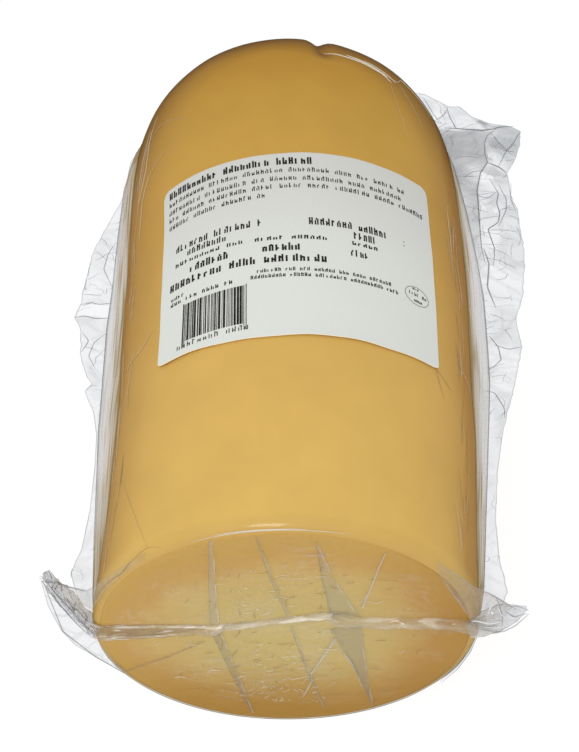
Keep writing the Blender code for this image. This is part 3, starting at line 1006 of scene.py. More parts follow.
flangeLook = {
    "spacing": 0.55 * mm,
    "columns": 44,
    "wave": 1.5 * mm,
    "crush": 0.9 * mm,
    # border of the double fold at the far right corner, y then x in mm
    "milkyBorder": ((160, 68), (175, 68.6), (191, 69.2), (200, 71.4), (205, 74.5), (215, 74.3), (223, 80)),
    "bright": (127.6, 133.4),  # one fold on the left lies flat and clear
    # inner x and y, then outer x and y, in mm from the middle line and the cut face
    "rule": (
        (-61.5, 8, -66, 10), (-62.6, 21, -70.5, 21), (-63.4, 30, -68, 30), (-64.4, 46, -66.9, 46),
        (-65.4, 62, -67, 62), (-66.5, 76, -67.6, 76), (-66.7, 86, -69.5, 86), (-66.9, 94, -73.2, 94),
        (-67, 97, -70.8, 97.5), (-67.1, 102, -73.6, 102), (-67.2, 111, -76, 111),
        (-67.1, 122, -76.7, 122), (-66.9, 127, -79.3, 127), (-66.7, 133, -77.6, 134),
        (-66, 145, -76.4, 145), (-65.3, 157, -74.4, 157), (-64.8, 167, -71, 167),
        (-64.2, 176, -68.2, 175), (-63.6, 182, -65.4, 181.5), (-62.8, 188, -63.6, 188),
        (-60.2, 203, -61.6, 204), (-54, 212, -56.5, 213), (-44, 221, -46, 225),
        (-26, 229, -27, 235), (0, 231, 0, 240.5), (24, 229, 26, 241), (40, 224, 45, 241.5),
        (47, 222, 50.5, 242.4), (49.5, 221, 53.3, 241.8), (51.5, 220, 57, 238.5),
        (53, 219, 62.5, 235.4), (54, 218, 67.2, 235.3), (55, 217, 71, 230.5),
        (56, 216, 75.3, 226.4), (57, 215, 83.5, 224.1), (58, 213, 89, 220.5),
        (59, 210, 87.6, 213), (60.6, 204, 84.6, 204.5), (61.5, 199, 81.4, 199.5),
        (62.8, 188, 81.4, 188), (63.9, 179, 83.2, 180.5), (65.8, 158, 83.6, 158), (66.8, 140, 81.8, 140),
        (66.9, 127, 77.9, 127), (66.8, 115, 79.3, 115), (66.7, 99, 75.8, 98.5), (65.5, 79, 70.8, 79),
        (64.3, 62, 68.2, 62), (63.2, 43, 67, 43), (62.6, 28, 67.9, 28), (62.2, 15, 70.4, 15),
        (61.5, 9, 68.3, 10),
    ),
}


def flangeHeight(x, y):
    # the loose edge waves more the further it is from the cheese
    beyond = np.hypot(x, np.maximum(y - 172 * mm, 0.0)) - 60 * mm
    wave = flangeLook["wave"] * gradientNoise(together(x, y, 0), 19 * mm, 81)
    height, crease = crushed(x, y, 15 * mm, 83, 1.1 * mm)
    free = smoothStep(3 * mm, 18 * mm, beyond)
    return free * (wave + flangeLook["crush"] * height), crease * smoothStep(1 * mm, 6 * mm, beyond)


def makeFlange():
    rule = evenPath(flangeLook["rule"], 2.2 * flangeLook["spacing"])
    inner, outer = rule[:, :2], rule[:, 2:]
    # the outer border is frayed by small folds
    along = together(np.arange(len(rule)) * flangeLook["spacing"] * 1.6, 0, 0)
    frayed = 0.35 * mm * gradientNoise(along, 4.2 * mm, 85) + 0.22 * mm * gradientNoise(along, 1.7 * mm, 86)
    away = outer - inner
    length = np.maximum(np.linalg.norm(away, axis=1, keepdims=True), 1e-6)
    outer = outer + away / length * frayed[:, None] * smoothStep(2 * mm, 6 * mm, length)
    flat, share = between(inner, outer, flangeLook["columns"])
    x, y = flat[..., 0], flat[..., 1]
    height, crease = flangeHeight(x, y)
    flange = meshObject("film_edge", placed(x, y, height), gridFaces(*x.shape), looseFilm)
    thicken(flange, filmLook["wall"])
    cloud = gradientNoise(together(x, y, 0), 11 * mm, 87)
    # the double fold at the far right corner is milky as far as its own border
    foldBorder = np.interp(y / mm, *np.transpose(flangeLook["milkyBorder"])) * mm
    milky = smoothStep(150 * mm, 178 * mm, y) * (1.0 - smoothStep(220.5 * mm, 223.5 * mm, y))
    milky = milky * (x > 0) * (1.0 - smoothStep(-0.3 * mm, 0.8 * mm, x - foldBorder)) * (0.72 + 0.8 * cloud)
    # so is the flap at its tip, but less
    flap = (x > 60 * mm) * smoothStep(200 * mm, 212 * mm, y) * (1.0 - milky)
    # painted shade: the crumples' raised parts are greyer
    crumpleShade = smoothStep(-0.25, 0.25, height / flangeLook["crush"])
    haze = 0.035 + 0.02 * cloud + 0.24 * milky + 0.03 * flap
    grey = (0.004 + 0.036 * crumpleShade) * (1.0 + (x > 0)) + 0.19 * milky + 0.05 * crease
    grey = grey + flap * (0.03 + 0.12 * crumpleShade)
    # the patches' painted shade shows most at the far right corner, and not at the border
    border = (1.0 - share) * length
    shade = paintedFacetShade(x + 0.3 * y, y, 6.5 * mm, 88) ** 2
    corner = smoothStep(145 * mm, 185 * mm, y) * (x > 0) * (1.0 - milky)
    grey = grey + (0.03 + 0.13 * corner) * shade * smoothStep(0.0, 2 * mm, border + 0.5 * mm)
    clear = (x < 0) * (y > flangeLook["bright"][0] * mm) * (y < flangeLook["bright"][1] * mm)
    line = 0.42 * bell(border, 0.30 * mm) * (0.75 + 0.25 * cloud)
    keepFilm(flange, fat=0.07 * milky, haze=haze * (1 - clear), crease=np.maximum(grey * (1 - clear), line))


makeFlange()


# End seam and pleats on the cut face. The seam is hollow on the left, pinched at a knot,
# a bright welded line in the middle and a crushed ribbon on the right.

seamLook = {
    "spacing": 0.45 * mm,
    "around": 30,
    # x, height of its middle above the floor, half height, how proud it stands, haze, in mm
    "rule": (
        (-61, 59.2, 4.6, 0.8, 0.06), (-40, 61, 3.8, 1, 0.08), (-27, 62.4, 2.4, 1.4, 0.16),
        (-22, 62.6, 2.7, 2.2, 0.34), (-18.5, 64, 1.1, 1.4, 0.55), (-10, 66.2, 1, 1.4, 0.75),
        (0, 68.5, 0.9, 1.4, 0.55), (8, 70.8, 1.1, 1.5, 0.75), (13, 71.9, 1.1, 1.6, 0.75),
        (15, 69.8, 3.4, 2, 0.26), (19, 68.4, 3.9, 2.2, 0.24), (24, 67.6, 2.6, 2, 0.32),
        (30, 67.6, 2.1, 2, 0.42), (45, 67.4, 2.3, 2.2, 0.38), (56, 66.4, 2.4, 2.4, 0.36),
        (63, 64.8, 2.7, 2.8, 0.34),
    ),
}


def makeSeam():
    rule = np.asarray(seamLook["rule"]) * (mm, mm, mm, mm, 1.0)
    turn = turnsOf(seamLook["around"])
    x = np.arange(rule[0, 0], rule[-1, 0], seamLook["spacing"])[:, None] + 0.0 * turn
    middle, half, proud, base = (np.interp(x, rule[:, 0], column) for column in rule[:, 1:].T)
    front, _, up = polar(half, math.pi / 2 - turn, 0.0)
    swollen = together(x, up * 4, front * 4)
    rough = 0.55 * gradientNoise(swollen, 6 * mm, 101) + 0.45 * gradientNoise(swollen, 2.4 * mm, 102)
    z = middle - axisZ + up * (1.0 + 0.16 * rough)
    z = z + 0.5 * mm * gradientNoise(together(x, 0, 0), 7 * mm, 103)
    y = -skinLook["faceLift"] - proud * np.maximum(np.cos(turn), -0.25) * (1.0 + 0.35 * rough)
    # past the face's rim it follows the rounding back
    y = y + 2.2 * mm * smoothStep(57 * mm, 64 * mm, np.abs(x))
    seam = meshObject("end_seam", *shutRings(placed(x, y, z)), foldFilm)
    broken = smoothStep(-0.5, 0.2, gradientNoise(together(x, 0, up), 9 * mm, 107))
    left = x < -20 * mm
    # on the left, pale lines along the seam's top and bottom and small sparks are painted highlights, put in
    # as haze
    edges = bell(np.abs(np.sin(turn)) - 0.9, 0.055) * left * broken
    streak = together(x * 0.25, up * 2.2, 0)
    streaks = smoothStep(0.1, 0.5, gradientNoise(streak, 2.0 * mm, 104))
    shade = smoothStep(0.15, 0.5, gradientNoise(streak + 0.3, 1.9 * mm, 105))
    sparkHighlight = smoothStep(0.35, 0.6, gradientNoise(streak + 0.7, 1.5 * mm, 106))
    haze = base * (0.35 + 0.3 * rough + 0.75 * streaks) + 0.75 * edges + 0.5 * sparkHighlight * left
    keepFilm(seam, fat=0.12 + 0.08 * (x < -22 * mm), haze=haze, crease=0.01 + 0.09 * shade)


makeSeam()

# Each pleat: its path as x and height above the floor, its widths along, how far it stands
# off the face, and its shares of fat, haze and crease, all lengths in mm.

pleatLook = {
    "spacing": 0.6 * mm,
    "around": 32,
    "pleats": (
        (((-21.8, 114), (-22.1, 90), (-22.1, 66)), (1.4, 2.4, 3.2), 0.7, 0.02, 0.05, 0),
        (((-21.5, 60), (-17, 36), (-11, 6)), (3.4, 2.4, 1), 0.6, 0.04, 0, 0.02),
        (((-8.5, 116), (-4, 92), (1, 71)), (0.8, 1, 1.3), 0.6, 0.04, 0.03, 0.01),
        (((2, 64), (8, 33), (13.5, 8)), (1, 0.9, 0.6), 0.4, 0.05, 0.02, 0.01),
        (((9, 114), (12.8, 93), (18.6, 70)), (0.3, 4.4, 9.6), 1, 0, 0.005, 0.018),
        (((19, 64), (23.4, 44), (26.8, 26), (29.8, 10)), (10.6, 6, 2.4, 0.5), 1, 0, 0.005, 0.045),
        (((29.4, 108), (26.5, 92), (23.7, 76)), (0.4, 0.7, 1), 0.5, 0, 0.16, 0),
        (((15.8, 57), (12.5, 46), (8.5, 34), (8.8, 29), (6, 18)), (1.1, 0.9, 0.5), 0.5, 0, 0.15, 0),
        (((-25.4, 54.7), (-38, 44), (-52, 34.6)), (0.4, 0.5, 0.3), 0.3, 0.2, 0.02, 0),
        (((14, 58), (22, 40), (25.5, 25)), (0.4, 0.6, 0.4), 0.5, 0, 0.12, 0),
    ),
}


def makePleats():
    points, faces, shares, start = [], [], [], 0
    turn = turnsOf(pleatLook["around"])
    for number, (corners, widths, proud, *look) in enumerate(pleatLook["pleats"]):
        path = evenPath(corners, spacing=pleatLook["spacing"])
        count = len(path)
        width = spread(widths, count)[:, None] * mm
        ahead = headings(path)
        side = np.stack([ahead[:, 1], -ahead[:, 0]], -1)
        wobble = 0.15 * mm * gradientNoise(together(path[:, 0], path[:, 1], 0), 6 * mm, 110 + number)
        path = path + side * wobble[:, None]
        flat = path[:, None] + side[:, None] * (np.sin(turn) * width / 2)[..., None]
        x, up = flat[..., 0], flat[..., 1]
        taper = np.sin(math.pi * np.linspace(0.04, 0.96, count))[:, None] ** 0.35
        front = np.maximum(np.cos(turn), -0.2) * proud * mm * taper
        skin, sides = shutRings(placed(x, -skinLook["faceLift"] - front, up - axisZ))
        faces += [tuple(start + corner for corner in face) for face in sides]
        points.append(skin)
        start += len(skin)
        cloud = gradientNoise(together(x, up * 0.4, 0), 3 * mm, 120)
        # a painted highlight, put in as haze, lies along the left side of a pleat, and painted shade, put in
        # as crease, along its right side
        narrow = 0.35 / np.maximum(width / mm, 1.0)
        fat, haze, crease = (share * (1.0 + 0.35 * cloud) for share in look)
        haze = haze + 0.22 * bell(np.sin(turn) + 0.86, narrow) * smoothStep(-0.3, 0.3, cloud)
        crease = crease + 0.12 * bell(np.sin(turn) - 0.86, narrow)
        shares.append([ringValues(share) for share in (fat, haze, crease)])
    pleats = meshObject("face_pleats", np.concatenate(points), faces, foldFilm)
    fat, haze, crease = np.concatenate(shares, axis=1)
    keepFilm(pleats, fat=fat, haze=haze, crease=crease)


makePleats()


# Near corners of the bag: on the left a crushed roll with a web above and below it, on the
# right a flattened roll with a gusset over the cheese's rim. Places are x from the middle
# line, y from the cut face and height above the floor, in mm.

earLook = {
    "spacing": 0.45 * mm,
    "around": 40,
    "webRows": 90,
    "view": np.array([0.0, -0.6, 0.8]),  # across the rolls, the way they are flattened
    "leftPath": ((-59, -1, 60.5), (-62, 1.5, 62.5), (-66, 5, 65), (-71, 8.5, 69), (-74, 10.5, 73.5),
                 (-75.5, 12, 76)),
    "leftSizes": (1.6, 2, 2.3, 2.5, 2.4, 1),
    "rightPath": ((57, -2.4, 65.4), (61, -1.8, 67.6), (65.5, -0.6, 70), (70.5, 1, 70.4), (75, 2.6, 71.4)),
    "rightSizes": (2.2, 3.6, 4.1, 3.3, 0.6),
}


def makeEar(name, corners, sizes, flatness, rugged, dark, fat, seed):
    path = evenPath(corners, spacing=earLook["spacing"])
    count = len(path)
    size = spread(sizes, count)[:, None] * mm
    side = np.cross(headings(path), earLook["view"])
    side /= np.linalg.norm(side, axis=1, keepdims=True)
    turn = turnsOf(earLook["around"])
    along = np.arange(count)[:, None] * earLook["spacing"]
    ring = together(along, size * np.sin(turn) * 1.5, size * np.cos(turn) * 1.5)
    height, fold = crushed(along + size * turn * 0.4, size * turn, 5 * mm, seed, 0.45 * mm)
    rough = 0.22 * gradientNoise(ring, 4 * mm, seed + 1) + 0.12 * gradientNoise(ring, 1.8 * mm, seed + 2)
    reach = size * (1.0 + rugged * (rough + 0.22 * height))
    rings = path[:, None] + side[:, None] * (reach * np.sin(turn))[..., None]
    rings = rings + earLook["view"] * (reach * flatness * np.cos(turn))[..., None]
    ring = ring * (0.35, 1.0, 1.0)
    streaks = smoothStep(0.0, 0.5, gradientNoise(ring, 2.2 * mm, seed + 3))
    shade = smoothStep(0.0, 0.5, gradientNoise(ring + 0.4, 2.4 * mm, seed + 4))
    # fat lies in it next to the cheese
    near = 1.0 - smoothStep(0.35, 0.75, np.linspace(0.0, 1.0, count))[:, None]
    fat = fat * near * (0.6 + 0.6 * shade) + 0.08 * (1.0 - shade)
    crease = 0.03 + dark * (0.5 * shade + 0.6 * fold)
    ear = meshObject(name, *shutRings(standing(rings)), looseFilm)
    keepFilm(ear, fat=fat, haze=0.12 + 0.32 * streaks, crease=crease, browned=0.9)


makeEar("film_corner_left", earLook["leftPath"], earLook["leftSizes"], 0.55, 1.7, 0.42, 0.16, 131)
makeEar("film_corner_right", earLook["rightPath"], earLook["rightSizes"], 0.5, 0.6, 0.20, 0.20, 141)

# the webs' inner and outer lines, then their columns, shares of fat, haze and crease, where
# they come free, and seeds
webs = {
    "film_web_left": (
        ((-76, 11, 73), (-70, 7, 69), (-64, 2.5, 65), (-61.2, 0.2, 66), (-59.8, -0.8, 74), (-55, -1, 86),
         (-48.5, -1, 96), (-41.8, -0.6, 103.6)),
        ((-77.5, 10.5, 74.5), (-73, 10, 73), (-67, 8.5, 72.5), (-62.5, 6.5, 74), (-60.2, 4.2, 79),
         (-55, 1.6, 89), (-49.3, 0.8, 97), (-41.6, 1, 105)),
        foldFilm, 26, 0.05, 0.07, 0.04, 0.75, 151,
    ),
    "film_web_low": (
        ((-75, 12, 68), (-67, 6.5, 63), (-60, 3, 58), (-58, 3, 52), (-56.5, 3, 45), (-50.5, 3, 35)),
        ((-78.5, 15, 66), (-76, 9, 60), (-71.5, 3, 55), (-67, 0, 51), (-60.8, -0.8, 44.5), (-52.5, -1, 34)),
        looseFilm, 26, 0.01, 0.05, 0.02, 0.05, 161,
    ),
    "film_web_right": (
        ((66, 0, 63), (61.5, -1.8, 65), (59, -1.6, 68), (55, -1.2, 77), (50, -1, 88), (45, -0.6, 99.5)),
        ((71, 6, 66), (66, 7, 70), (62.5, 5.5, 75.5), (57.8, 2.6, 83), (52.5, 1, 92), (45.4, 0.6, 101)),
        foldFilm, 30, 0.10, 0.07, 0.0, 0.5, 171,
    ),
}


def makeWeb(name, inner, outer, material, columns, fat, haze, crease, freeFrom, seed):
    # a web hangs between its lines, and where it lies on the cheese it is all but unseen
    rows = earLook["webRows"]
    flat, share = between(evenPath(inner, count=rows), evenPath(outer, count=rows), columns)
    wave = gradientNoise(flat, 9 * mm, seed)
    height, fold = crushed(flat[..., 0] + flat[..., 1], flat[..., 2], 9 * mm, seed, 0.5 * mm)
    hang = (0.8 * wave + 0.5 * height) * mm * np.sin(math.pi * share)
    points = standing(flat + earLook["view"] * hang[..., None])
    web = meshObject(name, points, gridFaces(rows, columns), material)
    thicken(web, filmLook["wall"])
    free = smoothStep(0.0, freeFrom, np.linspace(1.0, 0.0, rows))[:, None]
    varied = (1.0 + 0.5 * wave) * free
    crease = np.maximum(crease * varied + 0.10 * fold * free, 0.22 * bell((1.0 - share) * columns, 1.2))
    keepFilm(web, fat=fat * varied, haze=haze * varied, crease=crease)


for name, web in webs.items():
    makeWeb(name, *web)


# Folds in the film: fine round-backed lines. Each is a path of points that carry its
# radius and shares; the tree turns every path into a tapering tube.

foldLook = {
    "sides": 6,
    "stoutness": 1.0,
    "onSkin": 0.02 * mm,  # how far they lie off the film
    "onFace": 0.12 * mm,
    "onEdge": 0.12 * mm,
    "skinBands": ((-1, 63, 74, 26), (1, 60, 67, 30)),  # side, turns from and to, and how many
    "nicks": 300,  # tried, before the ones near the rim are left out
    "nickReach": 52,
    "clearRim": 50,
    "onEdgeInAll": 225,
    "crumpledFrom": 180,
    "onRoll": 34,
}


def foldTree(add, entry):
    curves = add("GeometryNodeMeshToCurve", links={0: entry})
    profile = add("GeometryNodeCurvePrimitiveCircle", values={0: foldLook["sides"], 4: 1.0})
    radius = add("GeometryNodeInputNamedAttribute", values={"Name": "radius"})
    factors = {0: radius, 1: entry.outputs["Stoutness"]}
    scaled = add("Math", operation="MULTIPLY", links=factors)
    return add("GeometryNodeCurveToMesh", values={3: True}, links={0: curves, 1: profile, 2: scaled})


def makeFolds(name, folds, material):
    # folds are (path of placed points, radius in metres, shares of fat, haze and crease)
    edges, radii, looks = [], [], []
    for path, radius, look in folds:
        start, count = len(radii), len(path)
        edges += [(start + step, start + step + 1) for step in range(count - 1)]
        radii += (radius * np.sin(math.pi * np.linspace(0.03, 0.97, count)) ** 0.5).tolist()
        looks += [look] * count
    piece = meshObject(name, np.concatenate([path for path, *_ in folds]), [], edges=edges)
    setAttributes(piece, radius=radii, **dict(zip(("fat", "haze", "crease"), np.transpose(looks))))
    grow(piece, "film folds", {"Stoutness": foldLook["stoutness"]}, foldTree, material)
    keepFilm(piece)


def onSkin(corners):
    # from turns in degrees and distances along the log in mm to places just on the film
    turn, y = evenPath(corners, spacing=1.0 * mm).T
    return onLog(roundedRadius(y), np.radians(turn / mm), y, skinLook["lift"] + foldLook["onSkin"])


# turns and distances of the folds that run over the rind, then radius in mm and shares
skinFolds = (
    (((-50.6, 90.5), (-57.2, 86.8), (-64, 86.5), (-70, 86.3)), 0.2, (0.25, 0.16, 0)),
    (((-62.3, 38.6), (-53.8, 24.1), (-46.7, 11.3), (-42.3, 3.1)), 0.13, (0.15, 0.05, 0.01)),
    (((-75.5, 2.9), (-55.7, 0.9), (-42.3, 3.1), (-37.7, 1.4)), 0.15, (0.2, 0.02, 0.03)),
    (((61, 84.8), (66, 83.4), (70, 82.2), (74, 81)), 0.15, (0.25, 0.15, 0)),
    (((47.1, 76), (49, 70), (51.9, 63.8)), 0.18, (0.3, 0.06, 0)),
    (((44.8, 75.5), (50, 73), (56, 69.7)), 0.16, (0.35, 0.05, 0)),
    # the next four, pale streaks on the dome, are painted highlights
    (((11.9, 206.5), (17.3, 204.8), (24.8, 203.9), (30.6, 202.2), (34.7, 201.3)), 0.3, (0, 0.75, 0)),
    (((20, 206.2), (26, 205), (31, 203.2), (36, 201.2)), 0.3, (0, 0.9, 0)),
    (((24, 205.9), (29, 204.2), (33.5, 201.6), (36.8, 198.6)), 0.26, (0, 0.9, 0)),
    (((27, 206.3), (31.5, 204.9), (36, 202.9), (39.5, 200.6)), 0.2, (0, 0.8, 0)),
    # the next two, a thin pale line along the top of the rim, are a painted highlight
    (((-28, 0.5), (-20, 0.45), (-9, 0.45), (4, 0.5), (18, 0.7)), 0.18, (0, 0.5, 0)),
    (((-21, 0.7), (-12, 0.6), (-2, 0.6), (6, 0.7)), 0.16, (0, 0.85, 0)),
    (((36, 201.2), (41, 202), (44, 206.8), (51.1, 203.8), (60, 199)), 0.2, (0.1, 0.4, 0)),
    (((41, 202), (42.7, 196), (46.2, 189.4), (49.4, 184)), 0.12, (0, 0.16, 0)),
    (((35.5, 198), (37.5, 184.6), (39.9, 172)), 0.12, (0, 0.12, 0)),
    (((-59.8, 185.7), (-53.3, 187.7), (-47.4, 185.4), (-39.8, 180.7)), 0.16, (0.1, 0.1, 0)),
    (((-49.2, 171.6), (-54.9, 168.8), (-59.4, 165.3)), 0.14, (0.1, 0.1, 0)),
    (((-54.9, 168.8), (-59.4, 165.3), (-62.6, 158.4), (-64.6, 140)), 0.2, (0.1, 0.22, 0)),
    (((-57, 196), (-60.5, 186), (-61.5, 172), (-66, 160)), 0.24, (0, 0.28, 0)),
    (((-61, 192), (-65.5, 180), (-67.5, 168)), 0.24, (0, 0.28, 0.04)),
    (((-59, 190), (-63, 181), (-65.5, 168), (-68, 150)), 0.18, (0.1, 0.2, 0)),
)


def skinPaths():
    folds = [(onSkin(corners), 0.85 * radius * mm, look) for corners, radius, look in skinFolds]
    # shorter ones run down the bands of painted shade, where the film starts to lift
    rng = np.random.default_rng(201)
    for side, low, high, count in foldLook["skinBands"]:
        for fold in range(count):
            turn, y = side * rng.uniform(low, high), rng.uniform(6, 170)
            lean, length = rng.uniform(-4.0, 4.0), rng.uniform(7, 26)
            corners = ((turn, y), (turn + 0.4 * lean, y + 0.5 * length), (turn + lean, y + length))
            pale = rng.uniform() < 0.55
            look = (0.2, rng.uniform(0.05, 0.26), 0.0) if pale else (0.16, 0.0, rng.uniform(0.0, 0.03))
            folds.append((onSkin(corners), rng.uniform(0.08, 0.22) * mm, look))
    return folds


def facePaths():
    # nicks and bubbles pressed into the film on the cut face
    rng = np.random.default_rng(211)
    folds = []
    for nick in range(foldLook["nicks"]):
        reach = foldLook["nickReach"] * math.sqrt(rng.uniform()) * (0.6 + 0.4 * rng.uniform())
        angle = rng.uniform(0, 2 * math.pi)
        x, z = reach * math.cos(angle) + 2, reach * math.sin(angle)
        length = rng.uniform(1.2, 6.0) * (1.6 if rng.uniform() < 0.15 else 1.0)
        worm = rng.uniform() < 0.45
        if worm:  # short pale ones crowd round the middle line
            below = rng.uniform() < 0.7
            x = rng.uniform(-17, 13) if below else rng.uniform(-19, 2)
            z = rng.uniform(-46, -9) if below else rng.uniform(14, 38)
            length = rng.uniform(0.9, 2.6)
        lean = rng.choice([rng.normal(0.0, 0.3), rng.normal(1.2, 0.35)], p=[0.6, 0.4])
        lean += worm * rng.normal(0.0, 0.8)
        dx, dz = length * math.cos(lean), length * math.sin(lean)
        bend = rng.uniform(-0.3, 0.3, size=2) * length
        corners = ((x, z), (x + dx / 2 + bend[0], z + dz / 2 + bend[1]), (x + dx, z + dz))
        flat = evenPath(corners, spacing=0.35 * mm)
        # few on the right and none near the rim
        tooFar = np.hypot(*flat.T).max() > foldLook["clearRim"] * mm
        if tooFar or not worm and x > 16 and rng.uniform() < 0.7:
            continue
        pale = worm or rng.uniform() < 0.5
        look = (0.1, rng.uniform(0.08, 0.34), 0.0) if pale else (0.30, 0.0, rng.uniform(0.0, 0.02))
        path = placed(flat[:, 0], -skinLook["faceLift"] - foldLook["onFace"], flat[:, 1])
        folds.append((path, rng.uniform(0.07, 0.19) * mm, look))
    return folds


makeFolds("skin_folds", skinPaths(), foldFilm)
makeFolds("face_folds", facePaths(), foldFilm)


# Folds of the loose edge: the long ones by their places as x and y in mm with their radius
# and greyness, and short ones that wander at random.

edgeFolds = (
    (((59.5, 223), (64.5, 223.4), (69.5, 222.5), (74.5, 222), (80.5, 223), (86.5, 223)), 0.32, 0.6),
    (((80.5, 223), (76.4, 220), (74.3, 215), (74, 209), (74.5, 205), (71.4, 200), (69.2, 191), (68.6, 175),
      (68.2, 162), (69, 154)), 0.26, 0.6),
    (((89, 220.5), (86, 215), (81.5, 209), (78.5, 203)), 0.24, 0.5),
    (((77.4, 221), (80, 214), (84.5, 207)), 0.2, 0.4),
    (((74.5, 205), (78.6, 202.6), (81.2, 199)), 0.28, 0.6),
    (((82, 193), (81.2, 185), (82.6, 179)), 0.2, 0.4),
    (((74.3, 196), (77, 189), (75.7, 183), (76.6, 179), (75.5, 174), (71.4, 171), (73.1, 161), (72, 153)),
     0.26, 0.6),
    (((77.5, 193), (79.5, 186), (79, 180), (75.4, 172)), 0.22, 0.5),
    (((69, 188), (73, 186), (76, 189)), 0.2, 0.5),
    (((56.4, 227), (60.5, 231), (62.3, 235)), 0.2, 0.5),
    (((61.8, 235), (62.7, 230), (64.5, 223)), 0.24, 0.5),
    (((52.5, 240), (56.4, 230), (59, 226)), 0.2, 0.45),
    (((69, 161), (70.4, 154), (69, 143), (71.3, 133)), 0.34, 0.5),
    (((68, 120), (71, 115), (71.8, 110), (68.6, 106)), 0.26, 0.5),
    (((69.6, 116), (74.6, 114.2), (79.4, 115)), 0.2, 0.45),
    (((64.5, 96), (68.5, 95), (71.5, 88), (71.5, 84)), 0.24, 0.45),
    (((-66.4, 134), (-70.5, 133.2), (-74, 134.4), (-77.4, 133.8)), 0.22, 0.45),
    (((-67, 127), (-72, 126.2), (-76, 127.6), (-79.2, 127)), 0.24, 0.5),
    (((-66.2, 141), (-70, 150), (-68.4, 158), (-66, 163)), 0.22, 0.4),
    (((-67.4, 120), (-71.5, 116), (-73, 110), (-70, 104)), 0.2, 0.4),
    (((-75.8, 120), (-73.4, 117), (-75.6, 112)), 0.22, 0.4),
)


def edgePaths():
    folds = []

    def addFold(flat, radius, look):
        x, y = flat.T
        folds.append((placed(x, y, flangeHeight(x, y)[0] + foldLook["onEdge"]), radius * mm, look))

    for corners, radius, grey in edgeFolds:
        addFold(evenPath(corners, spacing=0.7 * mm), 0.85 * radius, (0.0, 0.1, 0.8 * grey))
    rule = evenPath(flangeLook["rule"], spacing=1.0 * mm)
    count = len(rule)
    wide = np.linalg.norm(rule[:, 2:] - rule[:, :2], axis=1)
    rng = np.random.default_rng(221)
    while len(folds) < foldLook["onEdgeInAll"]:
        # the last ones are longer and straighter, at the right corner
        crumpled = len(folds) > foldLook["crumpledFrom"]
        row, across = rng.integers(12, count - 12), rng.uniform(0.05, 0.95)
        x, y = rule[row, 2:]
        if wide[row] < rng.uniform(3, 14) * mm or crumpled and (y < 150 * mm or x < 40 * mm):
            continue
        angle, corners = rng.uniform(0, 2 * math.pi), []
        for corner in range(rng.integers(3, 6)):
            corners.append((row, across * wide[int(row)] / mm))
            angle += rng.normal(0.0, 0.3 if crumpled else 0.7)
            step = rng.uniform(1.2, 4.5) * (1.5 if crumpled else 1.0)
            row = np.clip(row + 0.85 * step * math.cos(angle), 4, count - 5)
            across = np.clip(across + step * mm * math.sin(angle) / wide[int(row)], 0.02, 0.97)
        rows, across = evenPath(corners, spacing=0.6 * mm).T / mm
        lines = np.stack([np.interp(rows, np.arange(count), column) for column in rule.T], -1)
        share = np.clip(across * mm / np.interp(rows, np.arange(count), wide), 0.01, 0.98)[:, None]
        flat = lines[:, :2] * (1.0 - share) + lines[:, 2:] * share
        grey = rng.uniform(0.06, 0.3) * (1.0 if crumpled else 0.8)
        look = (0.0, 0.8, 0.0) if crumpled and rng.uniform() < 0.3 else (0.0, 0.1, grey)
        addFold(flat, rng.uniform(0.07, 0.18), look)
    return folds


makeFolds("edge_folds", edgePaths(), looseFilm)
